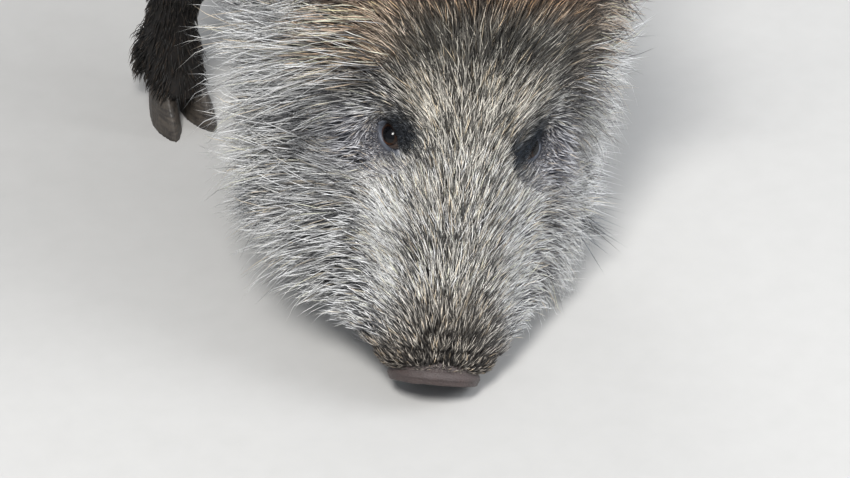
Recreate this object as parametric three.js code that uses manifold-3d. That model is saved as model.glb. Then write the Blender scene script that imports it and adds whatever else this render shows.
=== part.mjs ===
// A wild boar, life size: a young adult sow in winter coat, standing on four legs and rooting with
// her nose on the ground. Every solid is the outline of the coat, out to the tips of its hair.
// Millimetres, +Z up. She faces -Y and her left side is +X. The flesh is one smooth implicit shape,
// which is cast into rings of vertices body part by body part.
import * as THREE from "three";
import { mergeVertices } from "three/addons/utils/BufferGeometryUtils.js";
import Module from "manifold-3d";

const wasm = await Module();
wasm.setup();

// ---------------------------------------------------------------- driving sizes
const GAP = 0.3; // between neighbouring pieces

// Pose of the head, in degrees: nose down, swung to her right, and leaning to her left.
const HEAD_PITCH = 56.6;
const HEAD_YAW = -35;
const HEAD_ROLL = 26.1;
const HEAD_PLACE = { x: -34, y: 0, z: 182.1 }; // midway between the eyes, with the nose on the ground

// The trunk.
const WITHERS_Y = 305;
const WITHERS_TOP = 645;
const BELLY_Y = 565;
const RUMP_Y = 772;
const RUMP_TOP = 592;
const CHEST_HALF_WIDTH = 146;
const BELLY_HALF_WIDTH = 153;
const TRUNK_AXIS_Z = 445; // the middle of the trunk's cross sections
const SHOULDER_CUT_Y = 222; // where the neck ends and the trunk begins
const NECK_RINGS = 9;
const TRUNK_RINGS = 14; // from the shoulder cut to the rump

// The legs: where each hoof stands, and the height of the joints.
const FORE_KNEE_Z = 152;
const HOCK_Z = 192;
const FETLOCK_Z = 70;
const CORONET_Z = 34; // the top of the hooves
const HOOF_LENGTH = 60;
const HOOF_HALF_WIDTH = 12.2;
const TOE_SPREAD = 15.2; // from the middle of the foot to the middle of each half hoof
const TOE_TURN = 0.1; // radians that each half hoof points outwards
const DEWCLAW_LENGTH = 34;
const DEWCLAW_SPREAD = 22;
const LEG_CUT_Z = 312; // where the legs are parted from the trunk
const STANCE = [
  { name: "foreleg_right", fore: true, side: -1, x: 126, y: 380 },
  { name: "foreleg_left", fore: true, side: 1, x: 108, y: 310 },
  { name: "hindleg_right", fore: false, side: -1, x: 108, y: 850 },
  { name: "hindleg_left", fore: false, side: 1, x: 106, y: 786 },
];

// The head, in its own frame: l towards her left, f forwards along the snout, n out of the forehead.
const NOSE_F = 180; // where the coat ends and the bare nose disc begins
const NAPE_F = -118; // where the head ends and the neck begins
const NOSE_LENGTH = 13;
const NOSE_HALF_WIDTH = 38;
const NOSE_HALF_HEIGHT = 31;
const NOSE_N = -15;
const EYE = { l: 67, f: 0, radius: 12.5, depth: 0.6 }; // depth is how far the coat stands over it
const EYE_GAZE = { l: 0.7, f: 0.24, n: 0.67 };
const EAR_LENGTH = 142;
const EAR_HALF_WIDTH = 42;
const EAR_ROOT = { l: 86, f: -106, n: 18 };
// The lower jaw lies under the mouth line, which runs back from the nose and falls into the cheek.
const MOUTH_LEVEL = -47;
const MOUTH_CORNER_F = 70;
const JAW_TILT = -9;
// The right ear stands out sideways and the left one is laid further back.
const EARS = [
  {
    name: "ear_right",
    side: -1,
    axis: { l: 0.87, f: -0.36, n: 0.3 },
    opening: { l: 0.1, f: 0.7, n: 0.55 },
  },
  {
    name: "ear_left",
    side: 1,
    axis: { l: 0.62, f: -0.7, n: 0.34 },
    opening: { l: 0.45, f: 0.5, n: 0.5 },
  },
];

// ---------------------------------------------------------------- frames
const headTurn = new THREE.Matrix4().makeRotationFromEuler(
  new THREE.Euler(
    THREE.MathUtils.degToRad(HEAD_PITCH),
    THREE.MathUtils.degToRad(HEAD_ROLL),
    THREE.MathUtils.degToRad(HEAD_YAW),
    "ZXY",
  ),
);
const headMatrix = new THREE.Matrix4()
  .makeTranslation(HEAD_PLACE.x, HEAD_PLACE.y, HEAD_PLACE.z)
  .multiply(headTurn);
const headInverse = headMatrix.clone().invert();

const vec = (x, y, z) => new THREE.Vector3(x, y, z);
// From head terms (left, forwards, out of the forehead) to the animal's frame.
const headVector = ({ l, f, n }) => vec(l, -f, n);
const headPoint = (l, f, n) => vec(l, -f, n).applyMatrix4(headMatrix);
const headDirection = (l, f, n) => vec(l, -f, n).transformDirection(headMatrix);

const lerp = THREE.MathUtils.lerp;
const clamp = THREE.MathUtils.clamp;

// ---------------------------------------------------------------- implicit shapes
// Each takes a point and gives the distance to its surface, below zero inside.

function joined(a, b, width) {
  const h = Math.max(width - Math.abs(a - b), 0) / width;
  return Math.min(a, b) - (h * h * width) / 4;
}

// An ellipsoid. lean tips it forwards about the X axis, in degrees.
function mass(centre, radii, lean = 0) {
  const turn = THREE.MathUtils.degToRad(lean);
  const c = Math.cos(turn);
  const s = Math.sin(turn);
  return (p) => {
    const x = p.x - centre[0];
    const y0 = p.y - centre[1];
    const z0 = p.z - centre[2];
    const y = y0 * c + z0 * s;
    const z = z0 * c - y0 * s;
    const near = Math.hypot(x / radii[0], y / radii[1], z / radii[2]);
    const slope = Math.hypot(x / radii[0] ** 2, y / radii[1] ** 2, z / radii[2] ** 2);
    return near < 1e-6 ? -Math.min(...radii) : (near * (near - 1)) / slope;
  };
}

// A tapered limb from a to b. The wide values are its width across X over its depth, at each end.
function limb(a, b, radiusA, radiusB, wideA = 1, wideB = 1) {
  const axis = vec(b[0] - a[0], b[1] - a[1], b[2] - a[2]);
  const length2 = axis.lengthSq();
  return (p) => {
    const q = vec(p.x - a[0], p.y - a[1], p.z - a[2]);
    const t = clamp(q.dot(axis) / length2, 0, 1);
    q.addScaledVector(axis, -t);
    q.x /= lerp(wideA, wideB, t);
    return q.length() - lerp(radiusA, radiusB, t);
  };
}

const union = (shapes, width) => (p) =>
  shapes.map((shape) => shape(p)).reduce((a, b) => joined(a, b, width));

// ---------------------------------------------------------------- head
// Sections of the head from the nape to the nose: top and bottom at the midline, half width, the
// level of the widest place, and how round the upper half is (1 a ridge, 2 an ellipse).
const HEAD_SECTIONS = [
  { f: -160, top: 70, bottom: -160, wide: 158, level: -66, crown: 1.8 },
  { f: NAPE_F, top: 68, bottom: -158, wide: 164, level: -84, crown: 1.55 },
  { f: -50, top: 54, bottom: -146, wide: 165, level: -94, crown: 1.38 },
  { f: 0, top: 40, bottom: -134, wide: 163, level: -96, crown: 1.27 },
  { f: 48, top: 31, bottom: -118, wide: 155, level: -88, crown: 1.26 },
  { f: 88, top: 25, bottom: -98, wide: 131, level: -68, crown: 1.34 },
  { f: 128, top: 20, bottom: -74, wide: 96, level: -46, crown: 1.5 },
  { f: 160, top: 18, bottom: -55, wide: 63, level: -26, crown: 1.8 },
  { f: NOSE_F, top: 15, bottom: -45, wide: 41, level: -15, crown: 2.2 },
];
// Swellings (positive) and hollows of the face, each with its place, height and spread.
const FACE_FORMS = [
  { what: "eye socket", l: 66, f: 4, n: 14, height: -11, spread: 17 },
  { what: "inner corner of the eye", l: 48, f: 28, n: 12, height: -5, spread: 14 },
  { what: "brow", l: 46, f: -18, n: 38, height: 6, spread: 17 },
  { what: "cheekbone", l: 94, f: 8, n: -12, height: 5, spread: 24 },
  { what: "upper lip over the canine", l: 54, f: 126, n: -34, height: 5, spread: 20 },
  { what: "temple", l: 92, f: -62, n: 22, height: -8, spread: 22 },
  { what: "side of the snout", l: 50, f: 80, n: 6, height: -5, spread: 24 },
];

// One value of the head's sections at f, on a smooth curve through the stations.
function sectionValue(key, f) {
  const last = HEAD_SECTIONS.length - 1;
  const at = clamp(f, HEAD_SECTIONS[0].f, HEAD_SECTIONS[last].f);
  let i = 0;
  while (i < last - 1 && HEAD_SECTIONS[i + 1].f < at) i++;
  const slope = (k) => {
    const a = HEAD_SECTIONS[Math.max(k - 1, 0)];
    const b = HEAD_SECTIONS[Math.min(k + 1, last)];
    return (b[key] - a[key]) / (b.f - a.f);
  };
  const from = HEAD_SECTIONS[i];
  const to = HEAD_SECTIONS[i + 1];
  const span = to.f - from.f;
  const t = (at - from.f) / span;
  const t2 = t * t;
  const t3 = t2 * t;
  return (
    (2 * t3 - 3 * t2 + 1) * from[key] +
    (t3 - 2 * t2 + t) * span * slope(i) +
    (-2 * t3 + 3 * t2) * to[key] +
    (t3 - t2) * span * slope(i + 1)
  );
}

function headField(point) {
  const q = vec(point.x, point.y, point.z).applyMatrix4(headInverse);
  const l = Math.abs(q.x);
  const f = -q.y;
  const level = sectionValue("level", f);
  const wide = sectionValue("wide", f);
  const high = q.z - level;
  const tall = high > 0 ? sectionValue("top", f) - level : level - sectionValue("bottom", f);
  const power = high > 0 ? sectionValue("crown", f) : 2.1;
  const share = ((l / wide) ** power + (Math.abs(high) / tall) ** power) ** (1 / power);
  const reach = Math.hypot(l, high);
  let distance = share < 0.05 ? -Math.min(wide, tall) : reach * (1 - 1 / share);
  for (const form of FACE_FORMS) {
    const away = (l - form.l) ** 2 + (f - form.f) ** 2 + (q.z - form.n) ** 2;
    distance -= form.height * Math.exp(-away / (2 * form.spread ** 2));
  }
  const behind = Math.max(HEAD_SECTIONS[0].f - f, 0);
  return distance + behind;
}

// ---------------------------------------------------------------- trunk, neck and upper legs
const bothSides = (make) => [make(-1), make(1)];
const legJoints = (leg) => (leg.fore ? foreJoints(leg) : hindJoints(leg));

// The joints of a foreleg, from the shoulder down: place, and radius of the coat there.
function foreJoints({ side, x, y }) {
  return {
    top: { at: [side * 100, WITHERS_Y + 22, 385], radius: 60 },
    elbow: { at: [side * lerp(106, x, 0.3), lerp(350, y, 0.25), 300], radius: 46 },
    forearm: { at: [side * lerp(108, x, 0.5), lerp(344, y, 0.5), 235], radius: 37 },
    knee: { at: [side * lerp(110, x, 0.7), lerp(340, y, 0.75), FORE_KNEE_Z], radius: 28 },
    cannon: { at: [side * lerp(110, x, 0.85), y + 12, 112], radius: 22.5 },
    fetlock: { at: [side * x, y + 17, FETLOCK_Z], radius: 25 },
    coronet: { at: [side * x, y + 2, CORONET_Z], radius: 24 },
  };
}

// The joints of a hind leg, from the thigh down.
function hindJoints({ side, x, y }) {
  return {
    top: { at: [side * 86, RUMP_Y - 16, 415], radius: 98 },
    stifle: { at: [side * 104, lerp(735, y - 80, 0.35), 338], radius: 70 },
    gaskin: { at: [side * 104, lerp(790, y - 5, 0.5), 265], radius: 45 },
    hock: { at: [side * lerp(100, x, 0.6), y + 38, HOCK_Z], radius: 28 },
    cannon: { at: [side * lerp(100, x, 0.8), y + 34, 132], radius: 23 },
    fetlock: { at: [side * x, y + 20, FETLOCK_Z], radius: 25 },
    coronet: { at: [side * x, y + 2, CORONET_Z], radius: 24 },
  };
}

// Limbs from joint to joint, in the order given.
function limbsBetween(joints, wide) {
  return joints
    .slice(1)
    .map((joint, i) => limb(joints[i].at, joint.at, joints[i].radius, joint.radius, wide, wide));
}

// The part of each leg that belongs to the trunk: shoulder and upper arm, or haunch and thigh.
function upperLeg(leg) {
  const joints = Object.values(legJoints(leg));
  const side = leg.side;
  if (leg.fore) {
    return [
      mass([side * 84, WITHERS_Y + 12, 420], [68, 96, 160], 14),
      ...limbsBetween(joints.slice(0, 2), 0.86),
    ];
  }
  return [
    mass([side * 77, RUMP_Y - 4, 408], [66, 116, 138], -14),
    ...limbsBetween(joints.slice(0, 2), 0.72),
  ];
}

const trunkShapes = [
  mass([0, 362, 446], [CHEST_HALF_WIDTH, 205, 186]),
  mass([0, WITHERS_Y + 10, WITHERS_TOP - 120], [74, 170, 118]),
  mass([0, BELLY_Y, 432], [BELLY_HALF_WIDTH, 245, 152]),
  limb([0, WITHERS_Y, 538], [0, RUMP_Y - 50, 502], 103, 94, 0.95, 1.05),
  mass([0, RUMP_Y - 6, RUMP_TOP - 140], [124, 146, 132], -24),
];
const nape = headPoint(0, NAPE_F, -40);
const neckShapes = [
  limb([0, 330, 455], [nape.x, nape.y + 22, nape.z + 8], 172, 106, 0.86, 1.33),
  limb([0, WITHERS_Y - 25, 578], headPoint(0, -170, 16).toArray(), 72, 64, 1, 1.2),
  limb([0, 190, 500], headPoint(0, -112, 14).toArray(), 78, 54, 1, 1.2),
];
const trunkField = union([...trunkShapes, ...STANCE.flatMap(upperLeg)], 46);
const neckField = union(neckShapes, 40);
const bodyField = (p) => joined(joined(trunkField(p), neckField(p), 60), headField(p), 34);

// ---------------------------------------------------------------- casting rings
// The distance from a ring's centre to the skin of a shape, along one direction.
function reachOf(field, centre, direction, limit, grow) {
  const at = (distance) => field(centre.clone().addScaledVector(direction, distance)) - grow;
  const step = 4;
  let inside = 0;
  while (inside < limit && at(inside + step) < 0) inside += step;
  let outside = inside + step;
  for (let i = 0; i < 14; i++) {
    const middle = (inside + outside) / 2;
    if (at(middle) < 0) inside = middle;
    else outside = middle;
  }
  return Math.max(inside, 0.5);
}

// Six times the volume inside a set of triangles, below zero where they face inwards.
function facing(points, faces) {
  let sum = 0;
  for (const [a, b, c] of faces) {
    sum += points[a].dot(points[b].clone().cross(points[c]));
  }
  return sum;
}

// A closed mesh from rings of equally many points; each end closes on a point of its own.
function ringMesh(rings, start, end) {
  const count = rings[0].length;
  const points = [start, ...rings.flat(), end];
  const faces = [];
  const at = (ring, k) => 1 + ring * count + (k % count);
  for (let k = 0; k < count; k++) {
    faces.push([0, at(0, k + 1), at(0, k)]);
    faces.push([points.length - 1, at(rings.length - 1, k), at(rings.length - 1, k + 1)]);
    for (let r = 0; r + 1 < rings.length; r++) {
      faces.push([at(r, k), at(r, k + 1), at(r + 1, k + 1)]);
      faces.push([at(r, k), at(r + 1, k + 1), at(r + 1, k)]);
    }
  }
  const outwards = facing(points, faces) > 0 ? faces : faces.map(([a, b, c]) => [a, c, b]);
  const geometry = new THREE.BufferGeometry().setFromPoints(points);
  geometry.setIndex(outwards.flat());
  return geometry;
}

// Casts a shape into rings. frames holds each ring's centre and its two directions, across and up.
function castRings(field, frames, segments, { limit = 400, grow = 0, ends = {} } = {}) {
  const rings = frames.map(({ centre, across, up }) =>
    Array.from({ length: segments }, (_, k) => {
      const angle = (2 * Math.PI * k) / segments;
      const direction = across
        .clone()
        .multiplyScalar(Math.cos(angle))
        .addScaledVector(up, Math.sin(angle));
      const distance = reachOf(field, centre, direction, limit, grow);
      return centre.clone().addScaledVector(direction, distance);
    }),
  );
  const start = ends.start ?? frames[0].centre;
  const end = ends.end ?? frames[frames.length - 1].centre;
  return ringMesh(rings, start, end);
}

// Steps from a to b. The middle steps are the widest where ease is 1, and all alike where it is 0.
function steps(a, b, count, ease = 0) {
  return Array.from({ length: count }, (_, i) => {
    const t = i / (count - 1);
    return lerp(a, b, lerp(t, (1 - Math.cos(Math.PI * t)) / 2, ease));
  });
}

// ---------------------------------------------------------------- solids
const solidOf = (geometry) => {
  const bare = new THREE.BufferGeometry();
  bare.setAttribute("position", geometry.getAttribute("position"));
  bare.setIndex(geometry.getIndex());
  const merged = mergeVertices(bare, 1e-4);
  return new wasm.Manifold(
    new wasm.Mesh({
      numProp: 3,
      vertProperties: new Float32Array(merged.attributes.position.array),
      triVerts: new Uint32Array(merged.index.array),
    }),
  );
};

const geometryOf = (solid) => {
  const { vertProperties, numProp, numVert, triVerts } = solid.getMesh();
  const places = new Float32Array(numVert * 3);
  for (let i = 0; i < numVert; i++) {
    places.set(vertProperties.subarray(i * numProp, i * numProp + 3), i * 3);
  }
  const geometry = new THREE.BufferGeometry();
  geometry.setAttribute("position", new THREE.BufferAttribute(places, 3));
  geometry.setIndex(new THREE.BufferAttribute(triVerts, 1));
  geometry.computeVertexNormals();
  return geometry;
};

const inHead = (geometry) => geometry.applyMatrix4(headMatrix);
const boxSolid = (sizes, matrix) =>
  solidOf(new THREE.BoxGeometry(...sizes).applyMatrix4(matrix));
// The largest piece of a cut, without slivers.
const mainPiece = (solid) =>
  solid.decompose().reduce((a, b) => (a.volume() > b.volume() ? a : b));

const ground = boxSolid([4000, 4000, 400], new THREE.Matrix4().makeTranslation(0, 0, -200));

// ---------------------------------------------------------------- materials
const finish = (color, roughness) =>
  new THREE.MeshStandardMaterial({ color, roughness, metalness: 0 });
const COAT = finish(0x57534d, 0.85);
const DARK_COAT = finish(0x2d2a28, 0.85);
const NOSE_SKIN = finish(0x3a3334, 0.5);
const HORN = finish(0x26221f, 0.45);
const EYEBALL = finish(0x2a1710, 0.08);

const boar = new THREE.Group();
function add(name, geometry, material) {
  const mesh = new THREE.Mesh(geometry, material);
  mesh.name = name;
  boar.add(mesh);
  return mesh;
}

// ---------------------------------------------------------------- head solids
const headAcross = headDirection(1, 0, 0);
const headUp = headDirection(0, 0, 1);
const headFrame = (f) => ({
  centre: headPoint(0, f, sectionValue("level", f) + 6),
  across: headAcross,
  up: headUp,
});

function headSolid(grow = 0) {
  const frames = [
    ...steps(NAPE_F + GAP, -30, 5),
    ...steps(-16, 40, 6),
    ...steps(56, NOSE_F, 8),
  ].map(headFrame);
  return solidOf(castRings(bodyField, frames, 38, { limit: 190, grow }));
}

const eyeGaze = (side) => headDirection(side * EYE_GAZE.l, EYE_GAZE.f, EYE_GAZE.n);

// The middle of an eyeball: its front lies just under the outside of the coat.
function eyeCentre(side) {
  const inside = headPoint(side * (EYE.l - 18), EYE.f, -30);
  const outwards = headDirection(side * 0.42, 0, 0.9);
  const surface = inside
    .clone()
    .addScaledVector(outwards, reachOf(headField, inside, outwards, 90, 0));
  return surface.addScaledVector(eyeGaze(side), -(EYE.radius + EYE.depth));
}

// The socket that the eyeball sits in, open to the outside along the gaze.
function eyeSocket(side) {
  const gaze = eyeGaze(side);
  const centre = eyeCentre(side);
  const ball = new THREE.SphereGeometry(EYE.radius + GAP, 16, 10).translate(...centre.toArray());
  const opening = new THREE.CylinderGeometry(EYE.radius + 3, EYE.radius * 0.8, 26, 16)
    .applyQuaternion(new THREE.Quaternion().setFromUnitVectors(vec(0, 1, 0), gaze))
    .translate(...centre.clone().addScaledVector(gaze, 17).toArray());
  return solidOf(ball).add(solidOf(opening));
}

// The space that belongs to the lower jaw.
function jawRegion(shrink = 0) {
  const length = NOSE_F + 60 - MOUTH_CORNER_F - shrink;
  const place = new THREE.Matrix4()
    .makeTranslation(0, -(MOUTH_CORNER_F + shrink + length / 2), MOUTH_LEVEL - shrink - 60)
    .multiply(new THREE.Matrix4().makeRotationX(THREE.MathUtils.degToRad(JAW_TILT)));
  return boxSolid([300, length, 120], place.premultiply(headMatrix));
}

function noseSolid() {
  const outline = (inset, f) =>
    Array.from({ length: 24 }, (_, k) => {
      const angle = (2 * Math.PI * k) / 24;
      // Broad and a little flattened, and narrower above than below.
      const wide = (NOSE_HALF_WIDTH - inset) * (1 - 0.1 * Math.sin(angle));
      return vec(
        wide * Math.sign(Math.cos(angle)) * Math.abs(Math.cos(angle)) ** 0.86,
        -f,
        NOSE_N + (NOSE_HALF_HEIGHT - inset) * Math.sin(angle),
      );
    });
  const back = NOSE_F + GAP;
  const front = NOSE_F + NOSE_LENGTH;
  const rings = [
    outline(1.5, back),
    outline(0, back + 5),
    outline(0.4, front - 3),
    outline(3, front - 0.6),
    outline(8, front - 0.8),
    outline(18, front - 0.2),
  ];
  const disc = ringMesh(rings, vec(0, -back, NOSE_N), vec(0, -front, NOSE_N));
  const nostrils = bothSides((side) =>
    solidOf(
      inHead(
        new THREE.SphereGeometry(1, 9, 5)
          .scale(6.5, 9, 8.5)
          .rotateY(side * 0.45)
          .translate(side * 14.5, -front, NOSE_N + 2),
      ),
    ),
  );
  return nostrils.reduce((solid, hole) => solid.subtract(hole), solidOf(inHead(disc)));
}

// An ear: a cupped, pointed leaf. Its sections are arcs, thick at the root and thin at the tip.
function earSolid(ear) {
  const { side } = ear;
  const axis = headVector({ ...ear.axis, l: side * ear.axis.l }).normalize();
  const opening = headVector({ ...ear.opening, l: side * ear.opening.l });
  opening.addScaledVector(axis, -opening.dot(axis)).normalize();
  const width = axis.clone().cross(opening);
  const root = vec(side * EAR_ROOT.l, -EAR_ROOT.f, EAR_ROOT.n);
  const arcPoints = 7;
  const sections = steps(0, 0.97, 10).map((t) => {
    const half = EAR_HALF_WIDTH * (0.66 + 0.95 * t) * Math.sqrt(Math.max(1 - t ** 1.7, 0));
    const cup = lerp(30, 7, t);
    const thick = lerp(13, 4.5, t);
    const centre = root.clone().addScaledVector(axis, (t - 0.16) * EAR_LENGTH);
    const curl = 6 * Math.sin(Math.PI * t); // the blade bends back a little on its way out
    const place = (across, depth) =>
      centre
        .clone()
        .addScaledVector(width, across)
        .addScaledVector(opening, depth - cup - curl);
    const arc = (inner) =>
      steps(-1, 1, arcPoints).map((u) => {
        const margin = inner ? (thick / 2) * (1 - u * u) : (-thick / 2) * (1 - u * u);
        return place(u * half, cup * u * u + margin);
      });
    const front = arc(true);
    const back = arc(false).slice(1, -1).reverse();
    return [...front, ...back];
  });
  const tip = root
    .clone()
    .addScaledVector(axis, 0.84 * EAR_LENGTH)
    .addScaledVector(opening, -7);
  const foot = sections[0][(arcPoints - 1) / 2].clone().lerp(sections[0][arcPoints + 3], 0.5);
  return solidOf(inHead(ringMesh(sections, foot, tip)));
}

// ---------------------------------------------------------------- neck, trunk and tail solids
const trunkTurn = new THREE.Matrix4(); // the trunk's rings stand upright, across Y
const trunkAcross = vec(1, 0, 0);
const trunkUp = vec(0, 0, 1);

function neckSolid(grow = 0) {
  const from = headPoint(0, NAPE_F, -34);
  const to = vec(0, SHOULDER_CUT_Y - GAP, TRUNK_AXIS_Z);
  const headBack = headDirection(0, -1, 0);
  const spine = new THREE.QuadraticBezierCurve3(
    from,
    from.clone().addScaledVector(headBack, 110).lerp(vec(0, 130, 400), 0.4),
    to,
  );
  const headQuaternion = new THREE.Quaternion().setFromRotationMatrix(headTurn);
  const trunkQuaternion = new THREE.Quaternion().setFromRotationMatrix(trunkTurn);
  const frames = steps(0, 1, NECK_RINGS).map((t) => {
    const turn = headQuaternion.clone().slerp(trunkQuaternion, clamp(t * 1.1 - 0.05, 0, 1));
    return {
      centre: spine.getPoint(t),
      across: vec(1, 0, 0).applyQuaternion(turn),
      up: vec(0, 0, 1).applyQuaternion(turn),
    };
  });
  const behindHead = boxSolid(
    [900, 600, 900],
    headMatrix.clone().multiply(new THREE.Matrix4().makeTranslation(0, -NAPE_F - 300, 0)),
  );
  const behindCut = boxSolid(
    [900, 600, 1400],
    new THREE.Matrix4().makeTranslation(0, SHOULDER_CUT_Y - GAP + 300, 400),
  );
  return solidOf(castRings(bodyField, frames, 36, { limit: 330, grow }))
    .subtract(behindHead)
    .subtract(behindCut);
}

function trunkSolid(grow = 0) {
  const last = RUMP_Y + 130;
  const ys = [...steps(SHOULDER_CUT_Y, RUMP_Y, TRUNK_RINGS), ...steps(RUMP_Y + 30, last, 6, 0.55)];
  const frames = ys.map((y) => ({
    centre: vec(0, y, TRUNK_AXIS_Z),
    across: trunkAcross,
    up: trunkUp,
  }));
  const tailward = vec(0, 1, 0);
  const end = frames[frames.length - 1].centre.clone();
  end.addScaledVector(tailward, reachOf(bodyField, end, tailward, 60, grow));
  return solidOf(castRings(bodyField, frames, 32, { limit: 330, grow, ends: { end } }));
}

// The tail hangs down over the rump and ends in a tassel.
const TAIL = [
  { at: [0, RUMP_Y + 104, 520], radius: 19 },
  { at: [0, RUMP_Y + 142, 498], radius: 14 },
  { at: [2, RUMP_Y + 158, 445], radius: 10.5 },
  { at: [4, RUMP_Y + 157, 375], radius: 9.5 },
  { at: [5, RUMP_Y + 155, 328], radius: 13 },
  { at: [6, RUMP_Y + 153, 288], radius: 8 },
];

function tailSolid() {
  const tailShape = union(limbsBetween(TAIL, 1), 10);
  const spine = new THREE.CatmullRomCurve3(TAIL.map(({ at }) => vec(...at)));
  const frames = steps(0, 1, 12).map((t) => {
    const along = spine.getTangent(t);
    const across = vec(-1, 0, 0);
    return { centre: spine.getPoint(t), across, up: across.clone().cross(along).normalize() };
  });
  const foot = frames[frames.length - 1].centre.clone().add(vec(0, 0, -8.6));
  return solidOf(castRings(tailShape, frames, 8, { limit: 40, ends: { end: foot } }));
}

// ---------------------------------------------------------------- legs and hooves
// A whole leg, from inside the trunk down to the top of the hooves.
function legSolid(leg, grow = 0) {
  const joints = Object.values(legJoints(leg));
  const { side, x, y } = leg;
  const limbs = [
    ...limbsBetween(joints, leg.fore ? 0.9 : 0.76),
    mass([side * x, y + 16, FETLOCK_Z - 2], [25, 29, 22]),
    mass([side * x, y + 3, CORONET_Z], [28, 31, 20]),
  ];
  const shape = union(limbs, 14);
  const whole = (p) => joined(trunkField(p), shape(p), 34);
  const heights = [
    ...steps(LEG_CUT_Z + 76, FETLOCK_Z + 22, 11),
    ...steps(FETLOCK_Z + 8, CORONET_Z + GAP, 3),
  ];
  const axis = (z) => {
    let i = 0;
    while (i < joints.length - 2 && joints[i + 1].at[2] > z) i++;
    const [a, b] = [joints[i].at, joints[i + 1].at];
    const t = clamp((a[2] - z) / (a[2] - b[2]), 0, 1);
    return vec(lerp(a[0], b[0], t), lerp(a[1], b[1], t), z);
  };
  const frames = heights.map((z) => ({ centre: axis(z), across: vec(-1, 0, 0), up: vec(0, 1, 0) }));
  const limit = leg.fore ? 84 : 128;
  return solidOf(castRings(whole, frames, 13, { limit, grow }));
}

// The space that belongs to a leg: everything below the cut, on its own side and at its own end.
function legRegion(leg, shrink = 0) {
  const [front, back] = leg.fore ? [WITHERS_Y - 45, WITHERS_Y + 140] : [BELLY_Y + 70, RUMP_Y + 400];
  const inner = leg.fore ? 52 : 14;
  const outer = 400;
  const sizes = [outer - inner - shrink, back - front - 2 * shrink, LEG_CUT_Z + 50 - shrink];
  const centre = [
    leg.side * ((outer + inner + shrink) / 2),
    (front + back) / 2,
    (LEG_CUT_Z - 50 - shrink) / 2,
  ];
  return boxSolid(sizes, new THREE.Matrix4().makeTranslation(...centre));
}

// One half of a cloven hoof. It stands on its sole at z 0 and points along -Y.
function hoofGeometry() {
  const levels = [
    { z: 0, size: 1, back: 0 },
    { z: 14, size: 0.95, back: 5 },
    { z: CORONET_Z, size: 0.72, back: 13 },
  ];
  const rings = levels.map(({ z, size, back }) =>
    Array.from({ length: 12 }, (_, k) => {
      const angle = (2 * Math.PI * k) / 12;
      const forwards = Math.cos(angle);
      // A leaf outline: pointed at the toe, round at the heel.
      const taper = forwards > 0 ? 1 - 0.42 * forwards ** 2 : 1;
      return vec(
        HOOF_HALF_WIDTH * size * Math.sin(angle) * taper,
        -(HOOF_LENGTH / 2) * size * forwards + back,
        z,
      );
    }),
  );
  return ringMesh(rings, vec(0, 0, 0), vec(0, 13, CORONET_Z));
}

// A dewclaw: a small blunt cone that hangs behind the fetlock, clear of the ground.
function dewclawGeometry() {
  const rings = steps(0, 0.9, 3).map((t) =>
    Array.from({ length: 7 }, (_, k) => {
      const angle = (2 * Math.PI * k) / 7;
      const radius = Math.sqrt(1 - t * t);
      const depth = -DEWCLAW_LENGTH * t;
      return vec(9 * radius * Math.cos(angle), 12 * radius * Math.sin(angle), depth);
    }),
  );
  return ringMesh(rings, vec(0, 0, 0), vec(0, 0, -DEWCLAW_LENGTH));
}

function addHooves(leg) {
  const flesh = legSolid(leg, GAP);
  for (const [place, out] of [["inner", -1], ["outer", 1]]) {
    const side = leg.side * out;
    const hoof = add(`${leg.name}_hoof_${place}`, hoofGeometry(), HORN);
    hoof.position.set(leg.side * leg.x + side * TOE_SPREAD, leg.y - 8, 0);
    hoof.rotation.z = side * TOE_TURN;
    hoof.geometry.computeVertexNormals();
    const claw = dewclawGeometry()
      .rotateX(0.42)
      .rotateZ(side * 0.35)
      .translate(leg.side * leg.x + side * DEWCLAW_SPREAD, leg.y + 40, FETLOCK_Z - 16);
    add(
      `${leg.name}_dewclaw_${place}`,
      geometryOf(mainPiece(solidOf(claw).subtract(flesh))),
      HORN,
    );
  }
}

// ---------------------------------------------------------------- putting her together
function addHead() {
  const sockets = bothSides(eyeSocket).reduce((a, b) => a.add(b));
  const whole = headSolid().subtract(sockets).subtract(ground);
  const upper = mainPiece(whole.subtract(jawRegion()));
  const jaw = mainPiece(whole.intersect(jawRegion(GAP)));
  add("head", geometryOf(upper), COAT);
  add("lower_jaw", geometryOf(jaw), COAT);
  add("nose", geometryOf(noseSolid().subtract(ground)), NOSE_SKIN);
}

function addEyes() {
  for (const [name, side] of [["eye_right", -1], ["eye_left", 1]]) {
    const eye = add(name, new THREE.SphereGeometry(EYE.radius, 14, 8), EYEBALL);
    eye.position.copy(eyeCentre(side));
  }
}

function addEars(flesh) {
  for (const ear of EARS) {
    add(ear.name, geometryOf(mainPiece(earSolid(ear).subtract(flesh))), DARK_COAT);
  }
}

// The trunk and the legs are one body, parted by thin cuts.
function addTrunkAndLegs() {
  const body = STANCE.reduce((solid, leg) => solid.add(legSolid(leg)), trunkSolid());
  const trunk = STANCE.reduce((solid, leg) => solid.subtract(legRegion(leg)), body);
  add("trunk", geometryOf(mainPiece(trunk)), COAT);
  for (const leg of STANCE) {
    const piece = body.intersect(legRegion(leg, GAP));
    add(leg.name, geometryOf(mainPiece(piece)), DARK_COAT);
    addHooves(leg);
  }
}

addHead();
addEyes();
addEars(headSolid(GAP).add(neckSolid(GAP)));
add("neck", geometryOf(neckSolid()), COAT);
addTrunkAndLegs();
add("tail", geometryOf(mainPiece(tailSolid().subtract(trunkSolid(GAP)))), DARK_COAT);

// The origin is on the ground, under the middle of her bounding box.
const box = new THREE.Box3().setFromObject(boar);
const middle = box.getCenter(new THREE.Vector3());
boar.position.set(-middle.x, -middle.y, -box.min.z);
const model = new THREE.Group();
model.add(boar);

export default model;
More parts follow.
